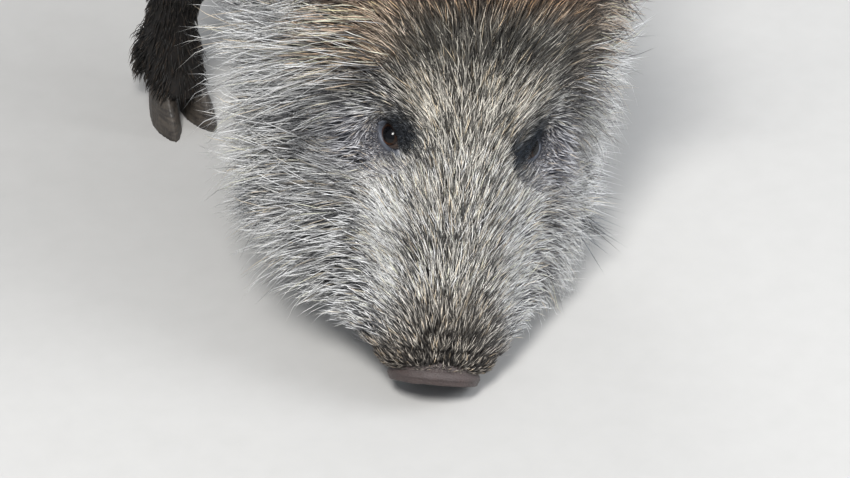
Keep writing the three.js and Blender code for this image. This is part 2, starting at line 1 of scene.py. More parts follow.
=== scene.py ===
"""A still, life-size wild boar sow in winter coat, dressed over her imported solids.

The flesh solids are the outline of the coat, so one skin lies inside them by the coat's depth, and
mesh tufts of hair fill the room between. Eyes, nose, hooves and dewclaws stay pieces of their own.
Metres throughout; places on the head are in its own frame, in millimetres.
"""

import math

import bmesh
import bpy
import numpy as np
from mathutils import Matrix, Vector
from mathutils.bvhtree import BVHTree
from mathutils.kdtree import KDTree


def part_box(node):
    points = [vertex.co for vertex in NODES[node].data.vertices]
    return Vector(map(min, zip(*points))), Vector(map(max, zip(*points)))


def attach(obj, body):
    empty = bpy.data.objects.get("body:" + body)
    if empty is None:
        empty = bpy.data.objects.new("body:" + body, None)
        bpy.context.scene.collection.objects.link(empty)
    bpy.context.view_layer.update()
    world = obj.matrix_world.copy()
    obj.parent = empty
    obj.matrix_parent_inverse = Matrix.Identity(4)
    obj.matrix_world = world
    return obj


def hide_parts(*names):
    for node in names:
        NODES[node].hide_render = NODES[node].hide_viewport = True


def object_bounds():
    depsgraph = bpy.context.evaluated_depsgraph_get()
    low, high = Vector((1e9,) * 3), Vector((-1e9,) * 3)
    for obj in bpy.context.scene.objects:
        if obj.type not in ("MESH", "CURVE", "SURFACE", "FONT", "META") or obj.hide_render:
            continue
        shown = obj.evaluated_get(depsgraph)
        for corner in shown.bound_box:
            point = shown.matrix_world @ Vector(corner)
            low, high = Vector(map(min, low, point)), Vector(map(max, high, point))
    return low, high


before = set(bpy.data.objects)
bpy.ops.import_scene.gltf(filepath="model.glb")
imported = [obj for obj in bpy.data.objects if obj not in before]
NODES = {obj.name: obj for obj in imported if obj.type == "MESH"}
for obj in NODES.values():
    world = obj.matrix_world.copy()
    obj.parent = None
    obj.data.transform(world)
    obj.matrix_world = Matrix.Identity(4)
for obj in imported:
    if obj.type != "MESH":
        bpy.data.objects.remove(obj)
cad_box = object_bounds()

MM = 0.001
SAME_PLACE = 0.01 * MM  # vertices nearer than this are one
LEGS = ["foreleg_right", "foreleg_left", "hindleg_right", "hindleg_left"]
EARS = ["ear_right", "ear_left"]
HEAD = ["head", "lower_jaw"]
FLESH = [*HEAD, "neck", "trunk", "tail", *EARS, *LEGS]

# The head's turn, as in the solids: nose down, swung to her right, and leaning to her left.
HEAD_PITCH = math.radians(56.6)
HEAD_YAW = math.radians(-35)
HEAD_ROLL = math.radians(26.1)
# Where the eyes' middles lie in the head's frame, and the way they look (left, forwards, out).
EYE_MIDDLE_F = -3.1
EYE_MIDDLE_N = -9.0
EYE_GAZE = (0.7, 0.24, 0.67)
NOSE_F = 180  # where the coat ends and the nose disc begins

VOXEL = 5.2 * MM  # of the skin
TAIL_SWELL = 1.0 * MM  # the tail is remeshed this much thicker, then brought back
EAR_ROOT_DEPTH = 34 * MM  # how far an ear's root runs into the head


# ------------------------------------------------------------------ small helpers
def smoothstep(low, high, x):
    t = np.clip((x - low) / (high - low), 0, 1)
    return t * t * (3 - 2 * t)


def hill(x, middle, spread):
    return np.exp(-(((x - middle) / spread) ** 2) / 2)


def dot(a, b):
    return np.einsum("...i,...i->...", a, b)


def unit(v):
    return v / np.maximum(np.linalg.norm(v, axis=-1, keepdims=True), 1e-12)


def flat_on(v, normal):
    """v without its part along normal, at length 1."""
    return unit(v - dot(v, normal)[..., None] * normal)


def ripple(points, size, seed, waves=7):
    """Smooth noise from -1 to 1 whose patches are about size across."""
    rng = np.random.default_rng(seed)
    ways = unit(rng.normal(size=(waves, 3))) * rng.uniform(0.6, 1.5, (waves, 1))
    shifts = rng.uniform(0, 2 * math.pi, waves)
    return np.sin(points @ ways.T * (math.pi / size) + shifts).sum(1) / math.sqrt(waves) / 1.4


def merged(node):
    """A CAD node's vertices, each once, and its triangles."""
    mesh = NODES[node].data
    mesh.calc_loop_triangles()
    co = np.array([v.co for v in mesh.vertices])
    tris = np.array([t.vertices for t in mesh.loop_triangles])
    rounded = np.round(co / SAME_PLACE)
    _, first, index = np.unique(rounded, axis=0, return_index=True, return_inverse=True)
    return co[first], index.reshape(-1)[tris]


def vertex_normals(verts, tris):
    corners = verts[tris]
    across = np.cross(corners[:, 1] - corners[:, 0], corners[:, 2] - corners[:, 0])
    total = np.zeros_like(verts)
    for k in range(3):
        for axis in range(3):
            total[:, axis] += np.bincount(tris[:, k], across[:, axis], len(verts))
    return unit(total)


def edges_of(tris):
    pairs = np.sort(np.concatenate([tris[:, [0, 1]], tris[:, [1, 2]], tris[:, [2, 0]]]), axis=1)
    return np.unique(pairs, axis=0)


def averaged(values, edges, rounds, amount=0.5, back=0.0):
    """Each value drawn towards its neighbours' mean. back undoes the shrinking after each round."""
    values = np.array(values, float)
    flat = values.reshape(len(values), -1)
    a, b = edges.T
    degree = np.maximum(np.bincount(edges.ravel(), minlength=len(flat)), 1)
    amount = np.broadcast_to(amount, len(flat))
    for _ in range(rounds):
        for share in (amount, -np.asarray(back) * np.ones(len(flat))) if np.any(back) else (amount,):
            for k in range(flat.shape[1]):
                total = np.bincount(a, flat[b, k], len(flat)) + np.bincount(b, flat[a, k], len(flat))
                flat[:, k] += share * (total / degree - flat[:, k])
    return flat.reshape(values.shape)


def linked(name, data):
    """A new object in the scene that holds data."""
    obj = bpy.data.objects.new(name, data)
    bpy.context.scene.collection.objects.link(obj)
    return obj


def new_object(name, verts, faces):
    mesh = bpy.data.meshes.new(name)
    faces = faces if isinstance(faces, list) else faces.tolist()
    mesh.from_pydata(np.asarray(verts).tolist(), [], faces)
    mesh.shade_smooth()
    return linked(name, mesh)


def modified(verts, tris, kind, **settings):
    """A mesh put through one modifier, as a bmesh."""
    obj = new_object("rough", verts, tris)
    modifier = obj.modifiers.new("rough", kind)
    for key, value in settings.items():
        setattr(modifier, key, value)
    done = obj.evaluated_get(bpy.context.evaluated_depsgraph_get())
    shape = bmesh.new()
    shape.from_mesh(done.to_mesh())
    bpy.data.objects.remove(obj)
    return shape


def as_arrays(shape):
    """A bmesh's vertices and triangles. The bmesh is freed."""
    bmesh.ops.triangulate(shape, faces=shape.faces)
    shape.verts.index_update()
    verts = np.array([v.co for v in shape.verts])
    tris = np.array([[v.index for v in f.verts] for f in shape.faces])
    shape.free()
    return verts, tris


def tree_of(verts, tris):
    return BVHTree.FromPolygons(verts.tolist(), tris.tolist())


def set_attribute(mesh, name, values):
    """A number or a colour for each vertex."""
    values = np.asarray(values, np.float32)
    if values.ndim == 1:
        mesh.attributes.new(name, "FLOAT", "POINT").data.foreach_set("value", values)
        return
    solid = np.concatenate([values, np.ones((len(values), 1), np.float32)], 1)
    mesh.attributes.new(name, "FLOAT_COLOR", "POINT").data.foreach_set("color", solid.ravel())


def dress(piece, material, slot, replaced=(), **attributes):
    """A piece gets its attributes and material, rides on her one body, and replaces its nodes. Its slot
    is not used.
    """
    for name, values in attributes.items():
        set_attribute(piece.data, name, values)
    piece.data.materials.append(material)
    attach(piece, "root")
    if replaced:
        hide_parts(*replaced)


def total(weight, names):
    """The sum of some parts' shares."""
    return sum(weight[name] for name in names)


# ------------------------------------------------------------------ the head's frame
def turn(axis, angle):
    c, s = math.cos(angle), math.sin(angle)
    rows = {
        "x": [[1, 0, 0], [0, c, -s], [0, s, c]],
        "y": [[c, 0, s], [0, 1, 0], [-s, 0, c]],
        "z": [[c, -s, 0], [s, c, 0], [0, 0, 1]],
    }
    return np.array(rows[axis])


def middle_of(node):
    low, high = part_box(node)
    return np.array(low + high) / 2


HEAD_TURN = turn("z", HEAD_YAW) @ turn("x", HEAD_PITCH) @ turn("y", HEAD_ROLL)
LEFTWARDS = HEAD_TURN @ [1, 0, 0]
FORWARDS = HEAD_TURN @ [0, -1, 0]
OUTWARDS = HEAD_TURN @ [0, 0, 1]
HEAD_AXES = np.array([LEFTWARDS, FORWARDS, OUTWARDS])
EYES = {-1: middle_of("eye_right"), 1: middle_of("eye_left")}
BETWEEN_EYES = (EYES[-1] + EYES[1]) / 2
HEAD_ORIGIN = BETWEEN_EYES - (FORWARDS * EYE_MIDDLE_F + OUTWARDS * EYE_MIDDLE_N) * MM
EYE_RADIUS = (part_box("eye_left")[1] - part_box("eye_left")[0]).z / 2


def on_head(points):
    """Points in the head's frame: left, forwards along the snout, out of the forehead, in mm."""
    return (points - HEAD_ORIGIN) @ HEAD_AXES.T / MM


def head_way(left, forwards, out):
    return unit(np.array([left, forwards, out]) @ HEAD_AXES)


def eye_ways(side):
    """The gaze, the way along the slit to the tear duct, and the way up to the upper lid."""
    gaze = head_way(side * EYE_GAZE[0], EYE_GAZE[1], EYE_GAZE[2])
    slit = flat_on(head_way(-side * 0.557, 0.796, 0.225), gaze)
    up = np.cross(gaze, slit)
    return gaze, slit, up * np.sign(dot(up, -side * LEFTWARDS))


# ------------------------------------------------------------------ the camera
CAMERA_AZIMUTH = math.radians(-25)
CAMERA_ELEVATION = math.radians(36)
CAMERA_DISTANCE = 4.0
VIEW_WIDTH = 0.68  # what the picture takes in, at the eyes
AIM_LEFT = 28 * MM  # the picture's middle, from the middle of the eyes
AIM_DOWN = 79.2 * MM
SENSOR = 36


def add_camera():
    a, e = CAMERA_AZIMUTH, CAMERA_ELEVATION
    right = Vector((math.cos(a), math.sin(a), 0))
    up = Vector((-math.sin(a) * math.sin(e), math.cos(a) * math.sin(e), math.cos(e)))
    back = right.cross(up)
    aim = Vector(BETWEEN_EYES) - AIM_LEFT * right - AIM_DOWN * up
    data = bpy.data.cameras.new("camera")
    data.sensor_width = SENSOR
    data.lens = SENSOR * CAMERA_DISTANCE / VIEW_WIDTH
    data.clip_start = 0.05
    camera = linked("camera", data)
    camera.location = aim + back * CAMERA_DISTANCE
    camera.rotation_euler = (-back).to_track_quat("-Z", "Y").to_euler()
    bpy.context.scene.camera = camera


# ------------------------------------------------------------------ the skin
def swollen(node):
    """A flesh node a little thicker, so that neighbours overlap and thin parts survive the remesh."""
    verts, tris = merged(node)
    grow = TAIL_SWELL if node == "tail" else 0.4 * MM
    verts = verts + vertex_normals(verts, tris) * grow
    if node in LEGS:
        verts[:, 2] -= np.where(verts[:, 2] < 36 * MM, 6 * MM, 0)
    if node == "head":
        ahead = on_head(verts)[:, 1] > NOSE_F - 2
        verts += np.where(ahead, 3 * MM, 0)[:, None] * FORWARDS
    return verts, tris


def remeshed(verts, tris, voxel, finer_from=None):
    """One closed shape round overlapping ones, as arrays. It is finer ahead of finer_from."""
    shape = modified(verts, tris, "REMESH", mode="VOXEL", voxel_size=voxel)
    if finer_from is not None:
        snout = [f for f in shape.faces if on_head(np.array(f.calc_center_median()))[1] > finer_from]
        snout_edges = list({e for f in snout for e in f.edges})
        bmesh.ops.subdivide_edges(shape, edges=snout_edges, cuts=1, use_grid_fill=True)
    return largest_piece(*as_arrays(shape))


def largest_piece(verts, tris):
    """The mesh without the specks that a remesh leaves."""
    label = np.arange(len(verts))
    a, b = edges_of(tris).T
    while True:
        before = label.copy()
        lower = np.minimum(label[a], label[b])
        np.minimum.at(label, a, lower)
        np.minimum.at(label, b, lower)
        label = label[label]
        if (label == before).all():
            break
    keep = label == np.bincount(label).argmax()
    index = np.cumsum(keep) - 1
    return verts[keep], index[tris[keep[tris[:, 0]]]]


def region_weights(verts, edges):
    """For each flesh node, how much each vertex belongs to it, fading over about 2 cm."""
    all_verts, all_tris, owner = [], [], []
    count = 0
    for index, node in enumerate(FLESH):
        co, tris = merged(node)
        all_verts += co.tolist()
        all_tris += (tris + count).tolist()
        owner += [index] * len(tris)
        count += len(co)
    tree = BVHTree.FromPolygons(all_verts, all_tris)
    nearest = np.array([owner[tree.find_nearest(v)[2]] for v in verts])
    sharp = np.eye(len(FLESH))[nearest]
    soft = averaged(sharp, edges, 24)
    return {node: soft[:, i] for i, node in enumerate(FLESH)}, nearest


# Across the head the coat stands far out from the cheeks. Inside line the skin follows the coat's
# outline; beyond it, the skin is drawn in, the more the further out. Stations run along the snout.
CHEEK_STATIONS = [
    # f, line, softness
    (-170, 80, 900),
    (-118, 72, 190),
    (-64, 68, 100),
    (0, 62, 84),
    (48, 52, 96),
    (88, 40, 92),
    (128, 34, 62),
    (160, 36, 60),
    (180, 38, 200),
]


def at_station(f, stations, column):
    keys = [row[0] for row in stations]
    return np.interp(f, keys, [row[column] for row in stations])


def draw_in_cheeks(verts, share):
    place = on_head(verts)
    far = np.abs(place[:, 0])
    line = at_station(place[:, 1], CHEEK_STATIONS, 1)
    soft = at_station(place[:, 1], CHEEK_STATIONS, 2)
    beyond = np.maximum(far - line, 0)
    drawn = beyond - soft * (1 - np.exp(-beyond / soft))
    sideways = np.sign(place[:, 0]) * drawn * share * MM
    return verts - sideways[:, None] * LEFTWARDS


def eye_distance(place):
    """Distance in mm to the nearer eye's middle, in the head's frame."""
    left = on_head(EYES[1])
    return np.sqrt(
        (np.abs(place[:, 0]) - left[0]) ** 2
        + (place[:, 1] - left[1]) ** 2
        + (place[:, 2] - left[2]) ** 2
    )


# How far the skin lies inside the coat's outline along the top of the head, in mm.
FACE_DEPTHS = [
    (-118, 26), (-70, 17), (-20, 10), (30, 7),
    (90, 5.5), (150, 4.5), (176, 2.2), (184, 1.2),
]


def room_behind(verts, tris, normals):
    """The distance from each vertex straight in to the far side."""
    tree = tree_of(verts, tris)
    far = 1.0
    hits = [tree.ray_cast(v - n * MM, -n) for v, n in zip(verts, normals)]
    return np.array([far if hit[3] is None else hit[3] for hit in hits])


def coat_depth(verts, weight):
    """How far the skin lies inside the coat's outline, in metres, by part of the body."""
    l, f, n = on_head(verts).T
    low = smoothstep(-60, -120, n)
    face = at_station(f, FACE_DEPTHS, 1)
    head = face + low * smoothstep(70, -20, f) * 10
    near_eye = smoothstep(44, 22, eye_distance(on_head(verts)))
    head = head + (2.6 - head) * near_eye
    y, z = verts[:, 1], verts[:, 2]
    ridge = smoothstep(0.42, 0.60, z)
    trunk = 24 + 8 * ridge * smoothstep(0.3, 0.0, y)
    neck = 27 + 8 * ridge * smoothstep(-0.42, -0.32, y)
    leg = 3.2 + 16 * smoothstep(0.19, 0.33, z)
    leg = leg * smoothstep(0.024, 0.05, z)
    depth = (
        head * total(weight, HEAD)
        + neck * weight["neck"]
        + trunk * weight["trunk"]
        + (TAIL_SWELL / MM + 4) * weight["tail"]
        + leg * total(weight, LEGS)
    )
    return depth * MM


def mouth_level(f):
    """The height of the mouth line on the head at f."""
    return -47.7 - (155 - f) * math.tan(math.radians(9))


def shape_face(verts, normals, weight):
    """The mouth's groove, the lips, the brow and the folds of the face."""
    l, f, n = on_head(verts).T
    head = total(weight, HEAD)
    above = n - mouth_level(f)
    along = smoothstep(62, 84, f)
    push = np.zeros(len(verts))
    push -= 3.4 * hill(above, 0, 1.9) * along  # the mouth
    push += 1.6 * hill(above, 7, 4) * along * smoothstep(182, 172, f)  # the upper lip
    push -= 1.5 * hill(above, 15, 4) * smoothstep(100, 130, f) * smoothstep(20, 34, np.abs(l))
    push -= 1.6 * hill(f, 171, 2.6) + 1.0 * hill(f, 161, 2.4)  # wrinkles behind the nose
    push += 2.2 * hill(np.abs(l), 50, 12) * hill(f, -30, 13) * hill(n, 34, 20)  # the brow
    return verts + normals * (push * head * MM)[:, None]


def settle(verts, tris, edges, depth, steps=8):
    """The surface drawn in by depth, a little at a time."""
    for _ in range(steps):
        normals = averaged(vertex_normals(verts, tris), edges, 3)
        verts = verts - unit(normals) * (depth / steps)[:, None]
        verts = averaged(verts, edges, 1, 0.3, 0.31)
    return verts


def dish_under_eyes(verts):
    """The skin lies lower right round the eyes, where the lids cover it."""
    for side, centre in EYES.items():
        gaze = eye_ways(side)[0]
        away = verts - centre
        height = away @ gaze
        radius = np.linalg.norm(away - height[:, None] * gaze, axis=1)
        near = smoothstep(LID_REACH * 0.86, LID_REACH * 0.68, radius) * (height > -0.03)
        floor = -6 * MM
        verts = verts - (np.maximum(height - floor, 0) * near)[:, None] * gaze
    return verts


def build_ear(node):
    """An ear's skin: its blade, smoothed, with its root carried into the head."""
    verts, tris = merged(node)
    head = tree_of(*merged("head"))
    neck = tree_of(*merged("neck"))
    gap = np.array([min(head.find_nearest(v)[3], neck.find_nearest(v)[3]) for v in verts])
    root = gap < 1.5 * MM
    inwards = unit(verts[root].mean(0) - verts[~root].mean(0))
    ends = (verts[root].mean(0), verts[np.argmin(verts @ inwards)].copy())
    verts += (root * EAR_ROOT_DEPTH)[:, None] * unit(inwards * 0.4 - OUTWARDS * 0.3)
    return *as_arrays(modified(verts, tris, "SUBSURF", levels=2)), ends


def build_skin():
    parts = [swollen(node) for node in FLESH if node not in EARS]
    starts = np.cumsum([0] + [len(v) for v, _ in parts])
    verts = np.concatenate([v for v, _ in parts])
    tris = np.concatenate([t + s for (_, t), s in zip(parts, starts)])
    verts, tris = remeshed(verts, tris, VOXEL, finer_from=96)
    outline = tree_of(verts, tris)
    edges = edges_of(tris)
    weight, owner = region_weights(verts, edges)
    calm = weight["trunk"] + weight["neck"] + 0.3 * total(weight, HEAD)
    legs = total(weight, LEGS)
    verts = averaged(verts, edges, 60, 0.5 * np.clip(calm + 0.15 * legs, 0, 1))
    cheeks = total(weight, [*HEAD, "neck"])
    verts = draw_in_cheeks(verts, np.clip(cheeks, 0, 1))
    verts = averaged(verts, edges, 3, 0.4, 0.41)
    room = room_behind(verts, tris, vertex_normals(verts, tris))
    depth = np.minimum(coat_depth(verts, weight), 0.3 * room)
    depth = averaged(depth, edges, 6)
    verts = settle(verts, tris, edges, depth)
    verts = shape_face(verts, vertex_normals(verts, tris), weight)
    ear_ends = {}
    for node in EARS:
        ear_verts, ear_tris, ear_ends[node] = build_ear(node)
        tris = np.concatenate([tris, ear_tris + len(verts)])
        verts = np.concatenate([verts, ear_verts])
        owner = np.concatenate([owner, np.full(len(ear_verts), FLESH.index(node))])
        for name in FLESH:
            share = float(name == node)
            weight[name] = np.concatenate([weight[name], np.full(len(ear_verts), share)])
    verts[:, 2] = np.maximum(verts[:, 2], 1.5 * MM)
    return {
        "verts": verts,
        "tris": tris,
        "edges": edges_of(tris),
        "weight": weight,
        "owner": owner,
        "normals": vertex_normals(verts, tris),
        "ear_ends": ear_ends,
        "outline": outline,
    }


# ------------------------------------------------------------------ the lids
LID_REACH = 30 * MM  # how far the lids' patch runs from the eye's middle
SLIT_BACK = -13.0  # the outer corner, along the slit, in mm from the eye's middle
SLIT_FRONT = 20.0  # the tear duct
SLIT_LEVEL = -4.4
SLIT_RING = 2  # which of the lids' rings is the slit
LID_MIDDLE = np.array([2.0, 0.5])  # of the lids' patch, along the slit and up, in mm
LID_POINTS = 44  # along each lid
LID_RINGS = 22
RIM_STEP = 0.12  # how much further out the skin's slope is taken
# The lids' edge: how far out from the slit, and how high over the eyeball, in mm.
LID_EDGE = [(0.5, 0.95), (1.3, 1.35)]
# The folds: how high, where from the edge (0) to the rim (1), and how wide.
UPPER_FOLDS = [(-1.5, 0.26, 0.035), (1.2, 0.4, 0.08), (-0.6, 0.55, 0.04)]
LOWER_FOLDS = [(-0.9, 0.2, 0.03), (-0.6, 0.36, 0.03), (0.6, 0.28, 0.03)]


def slit_outline():
    """The opening between the lids, seen along the gaze: along the slit, and up, in mm."""
    share = (1 - np.cos(np.linspace(0, math.pi, LID_POINTS))) / 2
    along = SLIT_BACK + (SLIT_FRONT - SLIT_BACK) * share
    lower = SLIT_LEVEL - 1.8 * np.sin(math.pi * share)
    arch = np.abs(np.sin(math.pi * share**0.62)) ** 0.75
    upper = SLIT_LEVEL + 11.8 * arch * (1 - 0.45 * smoothstep(0.45, 0.9, share))
    ring = [*zip(along, lower), *zip(along[-2:0:-1], upper[-2:0:-1])]
    return np.array(ring)


def around_ring(values, rounds=10):
    """Values round a closed ring, each averaged with its neighbours."""
    for _ in range(rounds):
        values = (np.roll(values, 1) + 2 * values + np.roll(values, -1)) / 4
    return values


def lid_rim(side, surface, outwards):
    """Where the lids end on the skin: each place, its height along the gaze, and the slope there."""
    gaze, slit, up = eye_ways(side)
    reach = LID_REACH / MM
    half = dot(outwards, LID_MIDDLE)
    to_rim = -half + np.sqrt(half**2 + reach**2 - dot(LID_MIDDLE, LID_MIDDLE))
    rim = LID_MIDDLE + outwards * to_rim[:, None]

    def height_at(flat):
        start = EYES[side] + (flat[0] * slit + flat[1] * up + 45 * gaze) * MM
        hit = surface.ray_cast(start, -gaze)[0]
        return (np.array(hit) - EYES[side]) @ gaze / MM

    height = around_ring(np.array([height_at(p) for p in rim])) - 0.4
    further = around_ring(np.array([height_at(p * (1 + RIM_STEP)) for p in rim]))
    return rim, height, (further - height) / (RIM_STEP * reach)


def lid_rings(side, surface):
    """The lids' rings, from under the eyeball out to the skin, with each one's heights, in mm.

    Also the way out from the slit, and how much it leads over the upper lid.
    """
    radius = EYE_RADIUS / MM
    ring = slit_outline()
    outwards = unit(ring - LID_MIDDLE)
    rim, rim_height, rim_slope = lid_rim(side, surface, outwards)
    off = np.hypot(ring[:, 0], ring[:, 1])
    ball = np.sqrt(np.maximum(radius**2 - off**2, 0))
    beyond = smoothstep(radius - 2.5, radius + 1.5, off)
    to_rim = np.clip((off - radius) / (LID_REACH / MM - radius), 0, 1)
    duct = 5.5 + (rim_height - 5.5) * to_rim
    edge = ball * (1 - beyond) + duct * beyond
    span = np.linalg.norm(rim - ring, axis=1)
    upper = smoothstep(-0.15, 0.35, outwards[:, 1])
    lower = 1 - upper
    rings = [
        (ring * 0.45, edge * 0 + radius * 0.25),
        (ring * 0.93, edge - 2.2),
        (ring, edge + 0.25),
        *[(ring + outwards * out, edge + high) for out, high in LID_EDGE],
    ]
    edge_out, edge_high = LID_EDGE[-1]
    first = edge_out / span
    start = edge + edge_high
    start_slope = 2.2 * upper - 1.2 * lower
    for t in np.arange(1, LID_RINGS + 1) / LID_RINGS:
        s = first + (1 - first) * t
        h00, h10 = 2 * s**3 - 3 * s**2 + 1, s**3 - 2 * s**2 + s
        h01, h11 = 3 * s**2 - 2 * s**3, s**3 - s**2
        height = h00 * start + h10 * start_slope + h01 * rim_height + h11 * span * rim_slope
        folds = upper * sum(deep * hill(s, at, wide) for deep, at, wide in UPPER_FOLDS)
        folds += lower * sum(deep * hill(s, at, wide) for deep, at, wide in LOWER_FOLDS)
        rings.append((ring + (rim - ring) * s[:, None], height + folds))
    return rings, outwards, upper


def build_lids(side, surface):
    """The lids round one eye, and what their hair and lashes grow by."""
    gaze, slit, up = eye_ways(side)
    rings, outwards, upper = lid_rings(side, surface)
    points = [
        EYES[side] + (flat[:, :1] * slit + flat[:, 1:] * up + height[:, None] * gaze) * MM
        for flat, height in rings
    ]
    count = len(upper)
    verts = np.concatenate([*points, [EYES[side] + gaze * MM]])
    around = np.arange(count)
    inmost = np.stack([(around + 1) % count, around, np.full(count, len(verts) - 1)], 1)
    tris = np.concatenate([grid_faces(len(points), count, False), inmost])
    if (vertex_normals(verts, tris) @ gaze).mean() < 0:
        tris = tris[:, ::-1]
    # How far out from the slit each ring lies, in mm, and then the middle.
    ring = rings[SLIT_RING][0]
    out = [np.linalg.norm(flat - ring, axis=1) * (k > SLIT_RING) for k, (flat, _) in enumerate(rings)]
    out = np.append(np.concatenate(out), 0.0)
    edge = points[SLIT_RING + 1]
    upper, lower = (np.append(np.tile(share, len(points)), 0) for share in (upper, 1 - upper))
    lid_out = out * (1 + 1.2 * upper)
    duct_gap = np.linalg.norm(verts - (edge[LID_POINTS - 1] + 1.5 * MM * slit), axis=1) / MM
    return {
        "verts": verts,
        "tris": tris,
        "edges": edges_of(tris),
        "soft": {name: np.full(len(verts), float(name == "head")) for name in [*FLESH, "crest"]},
        "owner": np.full(len(verts), FLESH.index("head")),
        "normals": vertex_normals(verts, tris),
        "length": (3.2 + 7.0 * smoothstep(3, 18, out)) * (0.5 + 0.5 * smoothstep(4, 14, duct_gap)),
        "room": (1.2 + 3.6 * smoothstep(2, 14, out)) * MM,
        "furry": smoothstep(0.8, 1.8, out - 1.1 * lower) * smoothstep(3, 9, duct_gap),
        "lash_line": (edge, outwards, (gaze, slit, up)),
        "bare": np.maximum(smoothstep(2.9, 1.9, lid_out), smoothstep(7, 4, duct_gap)),
    }


# ------------------------------------------------------------------ the eyes, the nose and the hooves
IRIS = 8.8  # radius, in mm
IRIS_AT = (-2.4, 0.9)  # along the slit and up
PUPIL_LONG = 6.8  # half its size along the slit
PUPIL_HIGH = 5.3
CORNEA_RISE = 1.1  # mm
EYE_TURNS = 72
EYE_RINGS = 44


def build_eye(side):
    """An eyeball with its cornea's bulge, and where each point lies on its iris."""
    gaze, slit, up = eye_ways(side)
    radius = EYE_RADIUS / MM
    lean = np.linspace(0.02, math.pi - 0.02, EYE_RINGS + 1)
    round_it = np.arange(EYE_TURNS) * 2 * math.pi / EYE_TURNS
    off = radius * np.sin(lean)
    bulge = CORNEA_RISE * smoothstep(IRIS + 0.8, 2, off) * (lean < math.pi / 2)
    out = (radius * np.cos(lean) + bulge)[:, None, None] * gaze
    across = np.cos(round_it)[:, None] * slit + np.sin(round_it)[:, None] * up
    verts = EYES[side] + (out + off[:, None, None] * across[None]) * MM
    u = off[:, None] * np.cos(round_it) - IRIS_AT[0]
    v = off[:, None] * np.sin(round_it) - IRIS_AT[1]
    front = np.where(lean < math.pi / 2, 0, 10)[:, None]
    iris = np.hypot(u, v) / IRIS + front
    pupil = np.hypot(u / PUPIL_LONG, v / PUPIL_HIGH) + front
    spokes = np.stack([np.cos(round_it) + 0 * u, np.sin(round_it) + 0 * u, 0.04 * np.hypot(u, v)], 2)
    faces = grid_faces(EYE_RINGS + 1, EYE_TURNS, side < 0).tolist()
    caps = [np.arange(EYE_TURNS)[::-1], np.arange(EYE_TURNS) + EYE_RINGS * EYE_TURNS]
    faces += [(cap[::-1] if side < 0 else cap).tolist() for cap in caps]
    return verts.reshape(-1, 3), faces, iris.ravel(), pupil.ravel(), spokes.reshape(-1, 3)


def grid_faces(rings, turns, turned):
    """The quads of a closed tube of rings, as triangles."""
    quads = []
    for ring in range(rings - 1):
        a = ring * turns + np.arange(turns)
        b = ring * turns + (np.arange(turns) + 1) % turns
        quads.append(np.stack([a, b, b + turns, a + turns], 1))
    quads = np.concatenate(quads)
    tris = np.concatenate([quads[:, [0, 1, 2]], quads[:, [0, 2, 3]]])
    return tris[:, ::-1] if turned else tris


def add_eye(side, name):
    verts, faces, iris, pupil, spokes = build_eye(side)
    eye = new_object("eyeball_" + name, verts, faces)
    dress(eye, EYE_MATERIAL, "eyeball", ["eye_" + name], iris=iris, pupil=pupil, spokes=spokes)


NOSE_HALF_WIDTH = 38.0
NOSE_HALF_HEIGHT = 31.0
NOSE_MIDDLE_N = -15.0
NOSE_FRONT_F = 193.0
NOSTRIL = (14.5, 2.0, 6.6, 8.4)  # across, up, and half its width and height
# The wall from inside the skin to the rim: how far forwards, and how much narrower.
NOSE_WALL = [
    (171, 6), (176, 3.4), (179, 2.2), (181.5, 1.6),
    (183, 1.9), (185, 0.8), (187.5, 0.3), (189, 0.5),
]
NOSE_TURNS = 132
NOSE_FACE_RINGS = 56


def nostril_gap(x, y):
    """Distance from the nearer nostril's middle: 1 at its rim."""
    across = np.abs(x) - NOSTRIL[0] - 0.2 * (y - NOSTRIL[1])
    return np.hypot(across / NOSTRIL[2], (y - NOSTRIL[1]) / NOSTRIL[3])


def nose_face(x, y, rim):
    """How far forwards the nose disc stands at x, y; rim is 1 at its edge."""
    s = nostril_gap(x, y)
    front = NOSE_FRONT_F - 0.9 * smoothstep(0.25, 0.8, rim) + 0.9 * hill(rim, 0.93, 0.05)
    front -= 3.4 * smoothstep(0.93, 1.0, rim) ** 2
    front -= 13.0 * smoothstep(1.03, 0.74, s)
    front += 1.1 * hill(s, 1.17, 0.11)
    front -= 1.1 * hill(x, 0, 1.3) * smoothstep(6, -8, y) * smoothstep(1, 0.85, rim)
    front -= 0.5 * hill(y + 0.05 * x * x / 8, 17, 1.1) * smoothstep(1, 0.9, rim)
    return front


